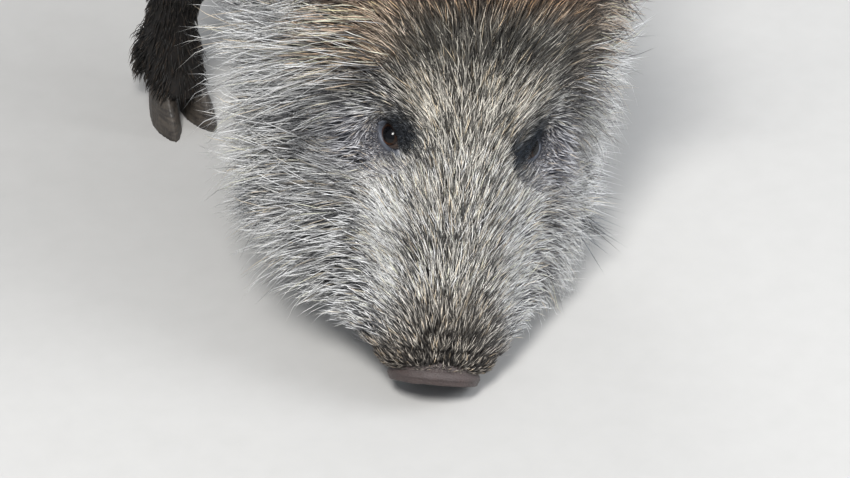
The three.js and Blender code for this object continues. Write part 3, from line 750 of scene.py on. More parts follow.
def add_nose():
    turns = np.arange(NOSE_TURNS) * 2 * math.pi / NOSE_TURNS
    cos, sin = np.cos(turns), np.sin(turns)
    edge_x = NOSE_HALF_WIDTH * (1 - 0.1 * sin) * np.sign(cos) * np.abs(cos) ** 0.86
    edge_y = NOSE_HALF_HEIGHT * sin
    rings = []
    for f, inset in NOSE_WALL:
        share = 1 - inset / NOSE_HALF_WIDTH
        rings.append(np.stack([edge_x * share, np.full(NOSE_TURNS, float(f)), edge_y * share], 1))
    for share in np.linspace(1, 0, NOSE_FACE_RINGS) ** 0.8:
        x, y = edge_x * share * 0.985, edge_y * share * 0.985
        rings.append(np.stack([x, nose_face(x, y, share), y], 1))
    place = np.concatenate(rings)
    # Painted shade: deep is 1 far back inside the nostrils, where the nose's colour is darkened nearly
    # to black.
    depth = smoothstep(NOSE_FRONT_F - 2.5, NOSE_FRONT_F - 7, place[:, 1])
    deep = depth * smoothstep(1.1, 0.95, nostril_gap(place[:, 0], place[:, 2]))
    wall = hill(place[:, 1], 182, 5)
    place[:, 1] += ripple(place * MM, 0.0045, 21) * 0.3 * smoothstep(172, 180, place[:, 1])
    creases = wall * np.sin(place[:, 1] * 1.9 + ripple(place * MM, 0.02, 22))
    place[:, [0, 2]] *= 1 - 0.014 * creases[:, None]
    place[:, 2] += NOSE_MIDDLE_N
    verts = HEAD_ORIGIN + place @ HEAD_AXES * MM
    verts[:, 2] = np.maximum(verts[:, 2], 0)
    faces = grid_faces(len(rings), NOSE_TURNS, False)
    back = np.array([[0, k + 1, k] for k in range(1, NOSE_TURNS - 1)])
    nose = new_object("nose_disc", verts, np.concatenate([faces, back]))
    dress(nose, NOSE_MATERIAL, "nose_skin", ["nose"], deep=deep)


DEWCLAW_IN = 6.5 * MM  # how much nearer to the leg the horn sits than the solid


def dewclaw_ends(node):
    """The top of a dewclaw, and the way from it towards its leg."""
    low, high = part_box(node)
    leg = node.rsplit("_", 2)[0]
    leg_verts = merged(leg)[0]
    level = leg_verts[np.abs(leg_verts[:, 2] - high.z) < 14 * MM]
    top = np.array([(low.x + high.x) / 2, (low.y + high.y) / 2, high.z - 3 * MM])
    inwards = (level.max(0) + level.min(0)) / 2 - top
    inwards[2] = 0
    return top, unit(inwards)


def by_dewclaws(points):
    """1 on the leg beside each dewclaw, and less further away."""
    near = np.zeros(len(points))
    for node in NODES:
        if "dewclaw" in node:
            top, inwards = dewclaw_ends(node)
            gap = np.linalg.norm(points - top - inwards * 8 * MM, axis=1)
            near = np.maximum(near, smoothstep(24 * MM, 12 * MM, gap))
    return near


def add_claw(node):
    """A half hoof or a dewclaw, rounded, with its growth rings."""
    verts, tris = remeshed(*merged(node), (1.0 if "dewclaw" in node else 1.3) * MM)
    edges = edges_of(tris)
    verts = averaged(verts, edges, 8, 0.5, 0.51)
    if "dewclaw" in node:
        verts = averaged(verts, edges, 14) + dewclaw_ends(node)[1] * DEWCLAW_IN
    top = verts[:, 2].max()
    normals = vertex_normals(verts, tris)
    wall = smoothstep(0.9, 0.5, np.abs(normals[:, 2])) * smoothstep(0, 3 * MM, verts[:, 2])
    down = (top - verts[:, 2] + 0.25 * verts[:, 1]) / MM
    rings = 0.10 * np.sin(down * 2.1) + 0.06 * np.sin(down * 5.3 + 1)
    verts += normals * (rings * wall * MM)[:, None]
    if "dewclaw" not in node:
        verts[:, 2] = np.where(verts[:, 2] < 0.8 * MM, 0, verts[:, 2])
    verts[:, 2] = np.maximum(verts[:, 2], 0)
    name = node.replace("dewclaw", "dewclaw_horn").replace("hoof", "claw")
    dress(new_object(name, verts, tris), HORN_MATERIAL, "horn", [node])


# ------------------------------------------------------------------ an unwrap of the skin
# Each part of the body is unrolled round its own middle line into a cell of the map.
DOWN = np.array([0, 0, -1])
BACK = np.array([0, 1, 0])
LEFT = np.array([1, 0, 0])
LARGE, SMALL = 0.48, 0.23  # the cells' sides
CHARTS = [
    # nodes, the way along, the way that starts the turn, and the cell: left, low, side
    (HEAD, -FORWARDS, OUTWARDS, (0.01, 0.51, LARGE)),
    (["neck", "trunk"], BACK, -DOWN, (0.51, 0.51, LARGE)),
    *[([leg], DOWN, BACK, (0.01 + 0.25 * k, 0.26, SMALL)) for k, leg in enumerate(LEGS)],
    (["ear_right"], -LEFT, BACK, (0.01, 0.01, SMALL)),
    (["ear_left"], LEFT, BACK, (0.26, 0.01, SMALL)),
    (["tail"], DOWN, BACK, (0.51, 0.01, SMALL)),
]
CHART_STATIONS = 14
PATCH = 0.003  # how wide a tuft is on the map


def middle_lines(skin):
    """For each chart, where its middle line runs."""
    lines = []
    for nodes, along, _, _ in CHARTS:
        members = np.isin(skin["owner"], [FLESH.index(node) for node in nodes])
        verts = skin["verts"][members]
        at = verts @ along
        stations = np.linspace(at.min(), at.max(), CHART_STATIONS)
        width = stations[1] - stations[0]
        middles = [verts[np.abs(at - s) < width].mean(0) for s in stations]
        lines.append((stations, np.array(middles)))
    return lines


def unroll(points, chart, lines):
    """Turns (0 to 1) round each point's chart, and its share along, before they are put in cells."""
    turns = np.zeros(len(points))
    shares = np.zeros(len(points))
    for index, (_, along, start, _) in enumerate(CHARTS):
        here = chart == index
        if not here.any():
            continue
        stations, middles = lines[index]
        at = points[here] @ along
        middle = np.stack([np.interp(at, stations, middles[:, k]) for k in range(3)], 1)
        away = points[here] - middle
        across = np.cross(along, start)
        turns[here] = np.arctan2(away @ across, away @ start) / (2 * math.pi) + 0.5
        shares[here] = (at - stations[0]) / (stations[-1] - stations[0])
    return turns, np.clip(shares, 0, 1)


def in_cells(turns, shares, chart):
    cells = np.array([cell for _, _, _, cell in CHARTS])[chart]
    return cells[:, :2] + np.stack([turns, shares], 1) * cells[:, 2:]


def chart_of(owner):
    table = np.array([next(i for i, c in enumerate(CHARTS) if node in c[0]) for node in FLESH])
    return table[owner]


def skin_map(skin, lines):
    """The unwrap of each corner of the skin's triangles."""
    tris = skin["tris"]
    chart = chart_of(skin["owner"][tris[:, 0]])
    corners = []
    for k in range(3):
        corners.append(unroll(skin["verts"][tris[:, k]], chart, lines))
    first = corners[0][0]
    flat = []
    for turns, shares in corners:
        beside = first + (turns - first + 0.5) % 1 - 0.5
        flat.append(in_cells(np.clip(beside, -0.02, 1.02), shares, chart))
    return np.stack(flat, 1).reshape(-1, 2)


# ------------------------------------------------------------------ the colours of the coat
def colour(text):
    """A colour written as in a stylesheet, as linear values."""
    parts = np.array([int(text[i : i + 2], 16) / 255 for i in (0, 2, 4)])
    return np.where(parts <= 0.04045, parts / 12.92, ((parts + 0.055) / 1.055) ** 2.4)


def mixed(a, b, share):
    return a + (b - a) * np.asarray(share)[:, None]


def markings(points, weight):
    """The coat's colour at its roots and at its tips, and how many of its hairs are dark."""
    l, f, n = on_head(points).T
    far = np.abs(l)
    head = np.clip(total(weight, HEAD), 0, 1)
    root = np.tile(colour("2a2725"), (len(points), 1))
    tip = np.tile(colour("a4988a"), (len(points), 1))
    dark = np.full(len(points), 0.38)

    def lay(share, root_text, tip_text, dark_share):
        nonlocal root, tip, dark
        root = mixed(root, colour(root_text), share)
        tip = mixed(tip, colour(tip_text), share)
        dark = dark + (dark_share - dark) * share

    z = points[:, 2]
    body = weight["trunk"] + weight["neck"]
    lay(0.7 * weight["neck"], "2d2c2e", "aaa59c", 0.38)
    lay(smoothstep(0.36, 0.26, z) * body, "37332f", "8f867b", 0.3)
    lay(0.85 * weight["crest"], "151312", "7d6a55", 0.62)
    legs = np.clip(total(weight, LEGS), 0, 1)
    lay(legs * smoothstep(0.38, 0.22, z), "141211", "453c34", 0.5)
    bridge = hill(l, 0, 34)
    crown = smoothstep(-14, -66, f) * smoothstep(92, 64, far)
    nape = smoothstep(-70, -108, f) * smoothstep(80, 40, far)
    tan_ridge = hill(far, 76 + 12 * (l > 0), 14) * smoothstep(-40, -62, f) * smoothstep(-50, -10, n)
    tan_ridge *= 1 - 0.35 * (l > 0)
    edge = smoothstep(58, 100, far)
    muzzle_side_and_painted_shade = smoothstep(26, 44, far) * smoothstep(30, 70, f) * smoothstep(168, 148, f)
    # Painted shade: the pale muzzle side is weaker on her left, the side turned from the light.
    muzzle_side_and_painted_shade *= 1 - 0.35 * (l > 0)
    whorl = smoothstep(118, 158, f) * hill(l, 0, 30)
    jowl_and_painted_shade = smoothstep(-72, -108, n)
    lay(head, "2f2f33", "f4f2f0", 0.34)
    lay(head * bridge * (1 - crown), "232221", "e8e4db", 0.5)
    lay(head * muzzle_side_and_painted_shade, "424245", "fffefa", 0.14)
    lay(head * edge, "3c3c42", "ffffff", 0.08)
    lay(0.8 * head * smoothstep(-45, -115, n) * smoothstep(25, -60, f), "343235", "aaa59d", 0.36)
    lay(head * hill(f, -22, 34) * smoothstep(64, 40, far), "1b1a18", "d6d1c6", 0.48)
    lay(head * crown, "0b0a0a", "beb9ad", 0.92)
    lay(head * nape, "060505", "dba264", 0.95)
    lay(head * tan_ridge, "4a3c33", "fddfc4", 0.12)
    lay(head * smoothstep(156, 180, f), "2c2826", "8d8378", 0.5)
    lay(head * 0.9 * whorl, "201e1d", "b4aca0", 0.74)
    # The low jowls' dark blue-grey is partly their own darker coat and partly painted shade under the
    # head.
    lay(head * 0.85 * jowl_and_painted_shade * (1 - 0.7 * edge), "212224", "86888c", 0.5)
    for side in EYES:
        _, slit, up = eye_ways(side)
        away = (points - EYES[side]) / MM
        above, along = away @ up, away @ slit
        gap = np.linalg.norm(away, axis=1)
        close = smoothstep(46, 28, gap) * head
        # The brow's dark blue coat is partly its own dark colour and partly painted shade over the eye;
        # the painted shade reaches further and darker round her left eye, which lies in shade.
        brow_and_painted_shade = hill(above, 15, 15) * smoothstep(46 + 6 * side, 30 + 6 * side, gap)
        brow_and_painted_shade *= smoothstep(-26, -6, along) * head
        lay(0.65 * close * smoothstep(8, -4, above), "5c5d66", "b9b9c0", 0.3)
        lay((0.95 + 0.05 * side) * brow_and_painted_shade, "070c13", "2e3b4a", 0.9)
        # Painted shade: the coat and the lid skin just above the eye are darkened, as the shadow of the
        # upper lid and lashes.
        lay(0.8 * smoothstep(20, 14, gap) * head * smoothstep(-6, 2, above), "0e1218", "3b4552", 0.7)
    ears = total(weight, EARS)
    lay(ears, "1b1817", "6f6457", 0.45)
    lay(weight["tail"], "171413", "4a4038", 0.5)
    return root, tip * (1 + 0.08 * ripple(points, 0.03, 5)[:, None]), dark


# ------------------------------------------------------------------ the lie of the coat
DUCT_AT = 21 * MM  # how far the tear duct lies from the eye's middle, along the slit
DUCT_PARTING = 2.2  # how strongly the coat parts there


def duct_middle(side):
    return EYES[side] + eye_ways(side)[1] * DUCT_AT


def duct_distance(points):
    """Distance in mm to the nearer tear duct."""
    return np.min([np.linalg.norm(points - duct_middle(side), axis=1) for side in EYES], axis=0) / MM


def round_the_eyes(place):
    """The coat's way round the eyes, in the head's frame, and how much it counts."""
    left = on_head(EYES[1])
    side = np.sign(place[:, 0])
    inner = -(np.abs(place[:, 0]) - left[0])
    ahead = place[:, 1] - left[1]
    angle = np.arctan2(-ahead, inner)
    # Towards the bridge, above, behind and below the eye: the way out, and the way forwards.
    ways = [(0, 0.35, -1.0), (90, 1.0, -0.3), (180, 0.8, 0.55), (270, 1.0, 0.05)]
    out = np.zeros(len(place))
    forwards = np.zeros(len(place))
    for degrees, way_out, way_forwards in ways:
        share = np.maximum(np.cos(angle - math.radians(degrees)), 0)
        out += share * way_out
        forwards += share * way_forwards
    near = np.exp(-((np.maximum(eye_distance(place) - 16, 0) / 22) ** 2))
    way = unit(np.stack([side * out, forwards, -0.15 * np.ones(len(place))], 1))
    for eye_side in EYES:
        away = place - on_head(duct_middle(eye_side))
        gap = np.linalg.norm(away, axis=1, keepdims=True)
        way = way + DUCT_PARTING * np.exp(-((gap / 17) ** 2)) * away / np.maximum(gap, 1)
    return way, near


def face_way(place):
    """The coat's way over the face: up the bridge, outwards over the muzzle and the cheeks."""
    l, f, n = place.T
    far = np.abs(l)
    muzzle = smoothstep(30, 105, f)
    crown = smoothstep(-25, -80, f)
    level = 1 - muzzle - crown
    beside = smoothstep(6, 40, far)[:, None]
    edge = smoothstep(44, 76, far)[:, None]
    under = (smoothstep(-70, -105, n) * smoothstep(84, 46, far))[:, None]
    # Outwards, forwards and out of the forehead, on the muzzle, beside the eyes and on the crown.
    bridge = np.array([0.06, -1.0, 0.0])
    slope = muzzle[:, None] * [0.80, -0.62, -0.10] + level[:, None] * [0.50, -0.85, 0.0]
    slope += crown[:, None] * [0.42, -0.90, 0.0]
    cheek = muzzle[:, None] * [0.90, 0.22, -0.75] + level[:, None] * [0.90, 0.02, -0.60]
    cheek += crown[:, None] * [0.80, -0.15, -0.45]
    way = bridge * (1 - beside) + slope * beside
    way = way * (1 - edge) + cheek * edge
    way = way * (1 - under) + np.array([0.1, -1.0, 0.0]) * under
    way[:, 0] *= np.tanh(l / 8)
    return unit(way)


def coat_flow(skin):
    """At each vertex, the way that the hair lies, along the skin."""
    verts, weight = skin["verts"], skin["soft"]
    place = on_head(verts)
    eye_way, near = round_the_eyes(place)
    way = face_way(place) * (1 - near[:, None]) + unit(eye_way) * near[:, None]
    head = way @ HEAD_AXES
    y, z = verts[:, 1], verts[:, 2]
    top = smoothstep(0.48, 0.6, z)
    zeros = np.zeros(len(verts))
    crest = weight["crest"]
    neck = np.stack([zeros, 0.85 + zeros, 0.4 * top - 0.45 * (1 - top) + 0.6 * crest], 1)
    rump = smoothstep(0.3, 0.46, y)
    trunk = np.stack([zeros, 1 - 0.45 * rump, -0.5 * (1 - top) - 0.5 * rump], 1)
    flow = head * total(weight, HEAD)[:, None]
    flow += neck * weight["neck"][:, None] + trunk * weight["trunk"][:, None]
    flow += np.array([0, 0.3, -1]) * total(weight, LEGS)[:, None]
    flow += np.array([0, 0.05, -1]) * weight["tail"][:, None]
    for name in EARS:
        members = weight[name] > 0.5
        root, tip = skin["ear_ends"][name]
        flow[members] = unit(tip - root)
    return flat_on(averaged(flow, skin["edges"], 6), skin["normals"])


# The length of the hair along the top of the head, in mm.
FACE_LENGTHS = [
    (-118, 46),
    (-70, 36),
    (-20, 30),
    (40, 27),
    (100, 24),
    (140, 20),
    (160, 17),
    (174, 11),
    (184, 5.5),
]


def coat_length(verts, weight):
    """The length of the hair in mm, by part of the body."""
    l, f, n = on_head(verts).T
    far = np.abs(l)
    face = at_station(f, FACE_LENGTHS, 1)
    cheek = smoothstep(56, 86, far) * smoothstep(140, 70, f)
    low = smoothstep(-72, -104, n) * smoothstep(120, 40, f)
    head = face + 28 * cheek + 16 * low * (1 - cheek)
    near_eye = smoothstep(34, 17, eye_distance(on_head(verts)))
    head = head * (1 - near_eye) + 6.5 * near_eye
    z = verts[:, 2]
    neck = 56 + 36 * weight["crest"]
    trunk = 50 + 32 * weight["crest"]
    leg = 13 + 32 * smoothstep(0.17, 0.34, z)
    tail = 16 + 30 * smoothstep(0.36, 0.32, z)
    return (
        head * total(weight, HEAD)
        + neck * weight["neck"]
        + trunk * weight["trunk"]
        + leg * total(weight, LEGS)
        + tail * weight["tail"]
        + 13 * total(weight, EARS)
    )


# ------------------------------------------------------------------ tufts
DENSITY = 1.0
REACH = 1.32  # hair that stands out to the outline is this much longer than the way there
ROUND = np.array([90, 210, 330]) * math.pi / 180  # a tuft has three sides
NAPE_SWING = -0.03  # how far the nape lies to her right where the head begins
EAR_COAT = 2.2 * MM  # how far the coat stands out from the ears
PIECE_LIMIT = 190000  # triangles in one piece of the coat
WARM_HAIR = np.array([0.04, -0.08, -0.24])  # how some hairs' tips differ from the rest
WARM_SHARE = 0.14
TUFT_CURVE = 1.7  # how soon a tuft leaves its first direction
TUFTS_IN_CLUMP = 7
ROOT_SINK = 0.8 * MM  # how deep a tuft's root lies in the skin
FLOOR_GAP = 0.8 * MM  # hair stays this far over the floor
# Hair may stand proud of the CAD model's box by a share of its side and 10 mm. It uses most of that.
PROUD_SHARE = 0.03
PROUD_MORE = 10 * MM
PROUD_USED = 0.9
LASHES = 40
LASH_COLOUR = (0.006, 0.006, 0.007)
WIDTH_PROFILE = {2: (0.85, 0.8), 3: (0.8, 1.0, 0.62), 4: (0.75, 1.0, 0.85, 0.5)}
PLAIN_LOOK = {
    "longer": 1,  # than the coat's length
    "lift": (1.06, 1.06),  # towards the outline, on her right and on her left
    "stray": 0.14,  # to the side of the flow
    "wave": 0.07,
    "droop": 0.0,
    "tie": 0.35,  # towards the clump's middle
    "eye_trim": 0.0,  # how much shorter beside the eyes
    "sideways": False,  # grows outwards and down, instead of along the flow
    "tone": None,  # root and tip, instead of the markings
    "shine": 1,
    "split": (0, 1, 0),  # the way in which a large coat is cut into pieces
}


def softened(skin):
    """The parts' shares, blended far into each other, and the crest along the nape and withers."""
    soft = dict(skin["weight"])
    for name in (*HEAD, "neck", "trunk"):
        soft[name] = averaged(soft[name], skin["edges"], 150)
    total = sum(soft.values())
    soft = {name: share / total for name, share in soft.items()}
    x, y, _ = skin["verts"].T
    middle = NAPE_SWING * smoothstep(-0.2, -0.42, y)
    up = smoothstep(0.45, 0.85, skin["normals"] @ unit(np.array([0, -0.3, 0.95])))
    crest = up * hill(x, middle, 0.04) * smoothstep(0.22, 0.0, y)
    soft["crest"] = crest * np.clip(soft["neck"] + soft["trunk"], 0, 1)
    return soft


def outline_room(skin):
    """How far each vertex of the skin lies from the coat's outline, in metres."""
    room = np.array([skin["outline"].find_nearest(v)[3] for v in skin["verts"]])
    on_ear = total(skin["weight"], EARS) > 0.5
    room[on_ear] = EAR_COAT
    return averaged(room, skin["edges"], 4)


def scatter(skin, share, count, rng):
    """Roots over the skin: share says how thickly each vertex grows. Gives corners and weights."""
    tris = skin["tris"]
    a, b, c = skin["verts"][tris].transpose(1, 0, 2)
    area = np.linalg.norm(np.cross(b - a, c - a), axis=1)
    chance = area * share[tris].mean(1)
    picked = rng.choice(len(tris), int(count), p=chance / chance.sum())
    a, b = np.sqrt(rng.random(int(count))), rng.random(int(count))
    weights = np.stack([1 - a, a * (1 - b), a * b], 1)
    return tris[picked], weights


def at_roots(values, corners, weights):
    values = np.asarray(values)
    picked = values[corners]
    if picked.ndim == 3:
        return np.einsum("ijk,ij->ik", picked, weights)
    return (picked * weights).sum(1)


def clumped(roots, tips, size, strength, rng):
    """How far each tip is drawn towards the middle of the tips of its clump."""
    count = max(int(len(roots) / size), 1)
    seeds = rng.choice(len(roots), count, replace=False)
    tree = KDTree(count)
    for index, place in enumerate(roots[seeds]):
        tree.insert(place, index)
    tree.balance()
    clump = np.array([tree.find(place)[1] for place in roots])
    total = np.stack([np.bincount(clump, tips[:, k], count) for k in range(3)], 1)
    middle = total / np.maximum(np.bincount(clump, minlength=count), 1)[:, None]
    return (middle[clump] - tips) * strength


def tuft_mesh(name, line, across, out, width, parts, colours, map_at):
    """Closed three-sided tufts along their middle lines, as one mesh with its attributes."""
    count = len(line)
    profile = np.array(WIDTH_PROFILE[parts])
    per = 3 * parts + 1
    verts = np.empty((count, per, 3))
    for ring in range(parts):
        for k, angle in enumerate(ROUND):
            spread = math.cos(angle) * across + 0.6 * math.sin(angle) * out
            verts[:, ring * 3 + k] = line[:, ring] + spread * (width * profile[ring] / 2)[:, None]
    verts[:, -1] = line[:, parts]
    faces = [(2, 1, 0)]
    for ring in range(parts - 1):
        for k in range(3):
            a, b = ring * 3 + k, ring * 3 + (k + 1) % 3
            faces += [(a, b, b + 3), (a, b + 3, a + 3)]
    last = (parts - 1) * 3
    faces += [(last + k, last + (k + 1) % 3, per - 1) for k in range(3)]
    faces = np.array(faces)
    tris = (faces[None] + (np.arange(count) * per)[:, None, None]).reshape(-1, 3)

    mesh = bpy.data.meshes.new(name)
    mesh.vertices.add(count * per)
    mesh.vertices.foreach_set("co", verts.astype(np.float32).ravel())
    mesh.loops.add(len(tris) * 3)
    mesh.loops.foreach_set("vertex_index", tris.astype(np.int32).ravel())
    mesh.polygons.add(len(tris))
    mesh.polygons.foreach_set("loop_start", np.arange(0, len(tris) * 3, 3, dtype=np.int32))
    mesh.polygons.foreach_set("use_smooth", np.ones(len(tris), bool))
    along = np.append(np.repeat(np.arange(parts) / parts, 3), 1.0)
    set_attribute(mesh, "along", np.tile(along, count))
    for key, values in colours.items():
        set_attribute(mesh, key, np.repeat(values, per, axis=0))
    turns = np.append(np.tile([0.5, 0.0, 1.0], parts), 0.5)
    patch = (np.stack([turns, along], 1) - 0.5) * PATCH
    places = (map_at[:, None] + patch[None]).reshape(-1, 2)
    layer = mesh.uv_layers.new(name="OFBake")
    layer.data.foreach_set("uv", places[tris.ravel()].astype(np.float32).ravel())
    mesh.update()
    return linked(name, mesh)


def hair_box():
    """The CAD model's box, widened by what hair may stand proud of it; the floor stays the floor."""
    low, high = (np.array(corner) for corner in cad_box)
    proud = PROUD_USED * (PROUD_SHARE * (high - low) + PROUD_MORE)
    return low - proud * [1, 1, 0], high + proud


def kept_in(line, rng):
    """Tufts that would leave the hair's box are shortened until they end inside it."""
    low, high = hair_box()
    roots = line[:, :1]
    reach = line - roots
    room = np.where(reach > 0, high - roots, roots - low)
    share = np.min(room / np.maximum(np.abs(reach), 1e-9), axis=(1, 2))
    share = np.where(share < 1, share * rng.uniform(0.8, 1.0, len(line)), 1.0)
    return roots + reach * share[:, None, None]


def tuft_lines(roots, normals, flow, length, room, parts, look, rng):
    """The tufts' middle lines, and the way across each."""
    number = len(roots)
    across = np.cross(normals, flow)
    flow = unit(flow + across * rng.normal(0, look["stray"], number)[:, None])
    right, left = look["lift"]
    lift = np.where(on_head(roots)[:, 0] < 0, right, left) - 0.65 * rng.random(number) ** 2
    height = np.minimum(room * lift, 0.92 * length)
    forwards = np.sqrt(length**2 - height**2)
    steps = np.arange(parts + 1) / parts
    rise = 1 - (1 - steps) ** TUFT_CURVE
    line = (
        roots[:, None]
        + flow[:, None] * (forwards[:, None] * steps)[..., None]
        + normals[:, None] * (height[:, None] * rise - ROOT_SINK * (steps == 0))[..., None]
    )
    line[..., 2] -= (look["droop"] * length)[:, None] * steps**2
    bend = across * rng.normal(0, look["wave"], number)[:, None]
    line += bend[:, None] * (length[:, None] * steps**2)[..., None]
    pull = clumped(roots, line[:, -1], TUFTS_IN_CLUMP, look["tie"], rng)
    line += pull[:, None] * (steps**1.5)[None, :, None]
    line[..., 2] = np.maximum(line[..., 2], FLOOR_GAP)
    return kept_in(line, rng), across


def tuft_colours(roots, weight, look, rng):
    """Each tuft's colour at its root and at its tip."""
    number = len(roots)
    root, tip, dark = markings(roots, weight)
    if look["tone"]:
        root, tip = (np.tile(colour(text), (number, 1)) for text in look["tone"])
    bright = look["shine"] * rng.uniform(0.5, 1.45, number)[:, None]
    warm = (rng.random(number) < WARM_SHARE)[:, None] * WARM_HAIR
    dull = (rng.random(number) < dark) * rng.uniform(0.75, 1.0, number)
    return root, mixed(np.minimum(tip * bright * (1 + warm), 0.95), root * 1.1, dull)


def grow(skin, name, share, count, width, parts, look, seed, slot):
    """Tufts over the part of the skin that share picks, in one or more pieces."""
    look = PLAIN_LOOK | look
    rng = np.random.default_rng(seed)
    corners, weights = scatter(skin, share, count * DENSITY, rng)

    def at(values):
        return at_roots(values, corners, weights)

    roots = at(skin["verts"])
    normals = unit(at(skin["normals"]))
    flow = flat_on(at(skin["flow"]), normals)
    if look["sideways"]:
        side = np.sign(on_head(roots)[:, :1])
        way = np.concatenate([side * 0.62, 0.3 + 0 * side, -0.72 + 0 * side], 1)
        flow = flat_on(way @ HEAD_AXES, normals)
    room = at(skin["room"])
    number = len(roots)
    length = np.maximum(at(skin["length"]) * MM, REACH * room) * look["longer"]
    length = length * rng.uniform(0.72, 1.18, number)
    beside_eye = smoothstep(44, 27, eye_distance(on_head(roots)))
    by_eye = np.maximum(beside_eye, smoothstep(24, 12, duct_distance(roots)))
    length *= 1 - look["eye_trim"] * by_eye
    line, across = tuft_lines(roots, normals, flow, length, room, parts, look, rng)
    root, tip = tuft_colours(roots, {k: at(v) for k, v in skin["soft"].items()}, look, rng)
    chart = chart_of(skin["owner"][corners[:, 0]])
    map_at = in_cells(*unroll(roots, chart, skin["lines"]), chart)
    width = width * MM * rng.uniform(0.7, 1.25, number) / DENSITY**0.5
    order = np.argsort(roots @ np.array(look["split"]))
    pieces = math.ceil(number * (6 * parts - 2) / PIECE_LIMIT)
    for index, own in enumerate(np.array_split(order, pieces)):
        label = name if pieces == 1 else f"{name}_{index + 1}"
        colours = {"root_colour": root[own], "tip_colour": tip[own]}
        shape = line[own], across[own], normals[own], width[own]
        dress(tuft_mesh(label, *shape, parts, colours, map_at[own]), COAT_MATERIAL, slot)


def add_lashes(name, lids, seed):
    """Dark lashes on the upper lid, which sweep outwards and down over the eye."""
    rng = np.random.default_rng(seed)
    line, outwards, (gaze, slit, up) = lids["lash_line"]
    upper = np.flatnonzero(outwards[:, 1] > 0.25)
    at = rng.choice(upper, LASHES)
    roots = line[at] + rng.normal(0, 0.3 * MM, (LASHES, 3))
    away = outwards[at, :1] * slit + outwards[at, 1:] * up
    start = unit(0.8 * gaze + 0.45 * away - 0.35 * slit + rng.normal(0, 0.12, (LASHES, 3)))
    bend = unit(-0.5 * up - 0.7 * slit - 0.25 * gaze)
    length = rng.uniform(5, 10, LASHES) * MM
    steps = np.arange(5) / 4
    points = roots[:, None] + start[:, None] * (length[:, None] * steps)[..., None]
    points += bend * (0.45 * length[:, None] * steps**2)[..., None]
    solid = np.tile(LASH_COLOUR, (LASHES, 1))
    turns, shares = unroll(roots, np.zeros(LASHES, int), lids["lines"])
    piece = tuft_mesh(
        "lashes_" + name,
        points,
        unit(np.cross(start, up)),
        np.tile(up, (LASHES, 1)),
        rng.uniform(0.45, 0.7, LASHES) * MM,
        4,
        {"root_colour": solid, "tip_colour": solid},
        in_cells(turns, shares, np.zeros(LASHES, int)),
    )
    dress(piece, COAT_MATERIAL, "dark_coat")


# ------------------------------------------------------------------ materials
class Shader:
    """A material's node tree, with short ways to add nodes and links."""

    def __init__(self, name):
        self.material = bpy.data.materials.new(name)
        self.material.use_nodes = True
        self.tree = self.material.node_tree
        self.tree.nodes.clear()
        self.surface = self.node("ShaderNodeBsdfPrincipled")
        output = self.node("ShaderNodeOutputMaterial")
        self.link(self.surface.outputs["BSDF"], output.inputs["Surface"])

    def node(self, kind, inputs=(), **settings):
        node = self.tree.nodes.new(kind)
        for key, value in settings.items():
            setattr(node, key, value)
        for key, value in dict(inputs).items():
            if isinstance(value, bpy.types.NodeSocket):
                self.link(value, node.inputs[key])
            else:
                node.inputs[key].default_value = value
        return node

    def link(self, a, b):
        self.tree.links.new(a, b)

    def set(self, **values):
        for key, value in values.items():
            socket = self.surface.inputs[key.replace("_", " ")]
            if isinstance(value, bpy.types.NodeSocket):
                self.link(value, socket)
            else:
                socket.default_value = value

    def attribute(self, name, output="Fac"):
        return self.node("ShaderNodeAttribute", attribute_name=name).outputs[output]

    def noise(self, scale, detail=3.0, roughness=0.55, vector=None):
        inputs = {"Scale": scale, "Detail": detail, "Roughness": roughness}
        if vector is None:
            vector = self.node("ShaderNodeTexCoord").outputs["Object"]
        inputs["Vector"] = vector
        return self.node("ShaderNodeTexNoise", inputs).outputs["Fac"]

    def mix(self, share, a, b, blend="MIX"):
        node = self.node("ShaderNodeMix", data_type="RGBA", blend_type=blend)
        for index, value in ((0, share), (6, a), (7, b)):
            if isinstance(value, bpy.types.NodeSocket):
                self.link(value, node.inputs[index])
            else:
                node.inputs[index].default_value = value
        return node.outputs[2]

    def range(self, value, low, high, to_low=0.0, to_high=1.0):
        inputs = {"Value": value, "From Min": low, "From Max": high}
        inputs |= {"To Min": to_low, "To Max": to_high}
        return self.node("ShaderNodeMapRange", inputs, interpolation_type="SMOOTHSTEP").outputs[0]

    def bump(self, height, strength, distance):
        inputs = {"Height": height, "Strength": strength, "Distance": distance}
        self.link(self.node("ShaderNodeBump", inputs).outputs[0], self.surface.inputs["Normal"])


def coat_material():
    """Hair: dark at its root and pale from halfway up, with fine variation along it."""
    shader = Shader("coat")
    along = shader.attribute("along")
    pale = shader.range(along, 0.3, 0.78)
    root = shader.attribute("root_colour", "Color")
    tip = shader.attribute("tip_colour", "Color")
    base = shader.mix(pale, root, tip)
    fine = shader.noise(900.0, 2.0)
    shade = shader.range(fine, 0.3, 0.7, 0.8, 1.15)
    shader.set(Base_Color=shader.mix(1.0, base, shade, "MULTIPLY"))
    shader.set(Roughness=shader.range(fine, 0.3, 0.7, 0.42, 0.62))
    shader.set(Specular_IOR_Level=0.35)
    return shader.material


def skin_material():
    """The skin under the coat: the coat's own markings, darker, with a fine nap."""
    shader = Shader("skin")
    root = shader.attribute("root_colour", "Color")
    tip = shader.attribute("tip_colour", "Color")
    nap = shader.noise(420.0, 4.0, 0.6)
    share = shader.range(nap, 0.45, 0.8, 0.0, 0.35)
    shader.set(Base_Color=shader.mix(share, root, tip))
    shader.set(Roughness=shader.range(nap, 0.3, 0.7, 0.6, 0.8))
    shader.set(Specular_IOR_Level=0.25)
    shader.bump(nap, 0.5, 0.0012)
    return shader.material


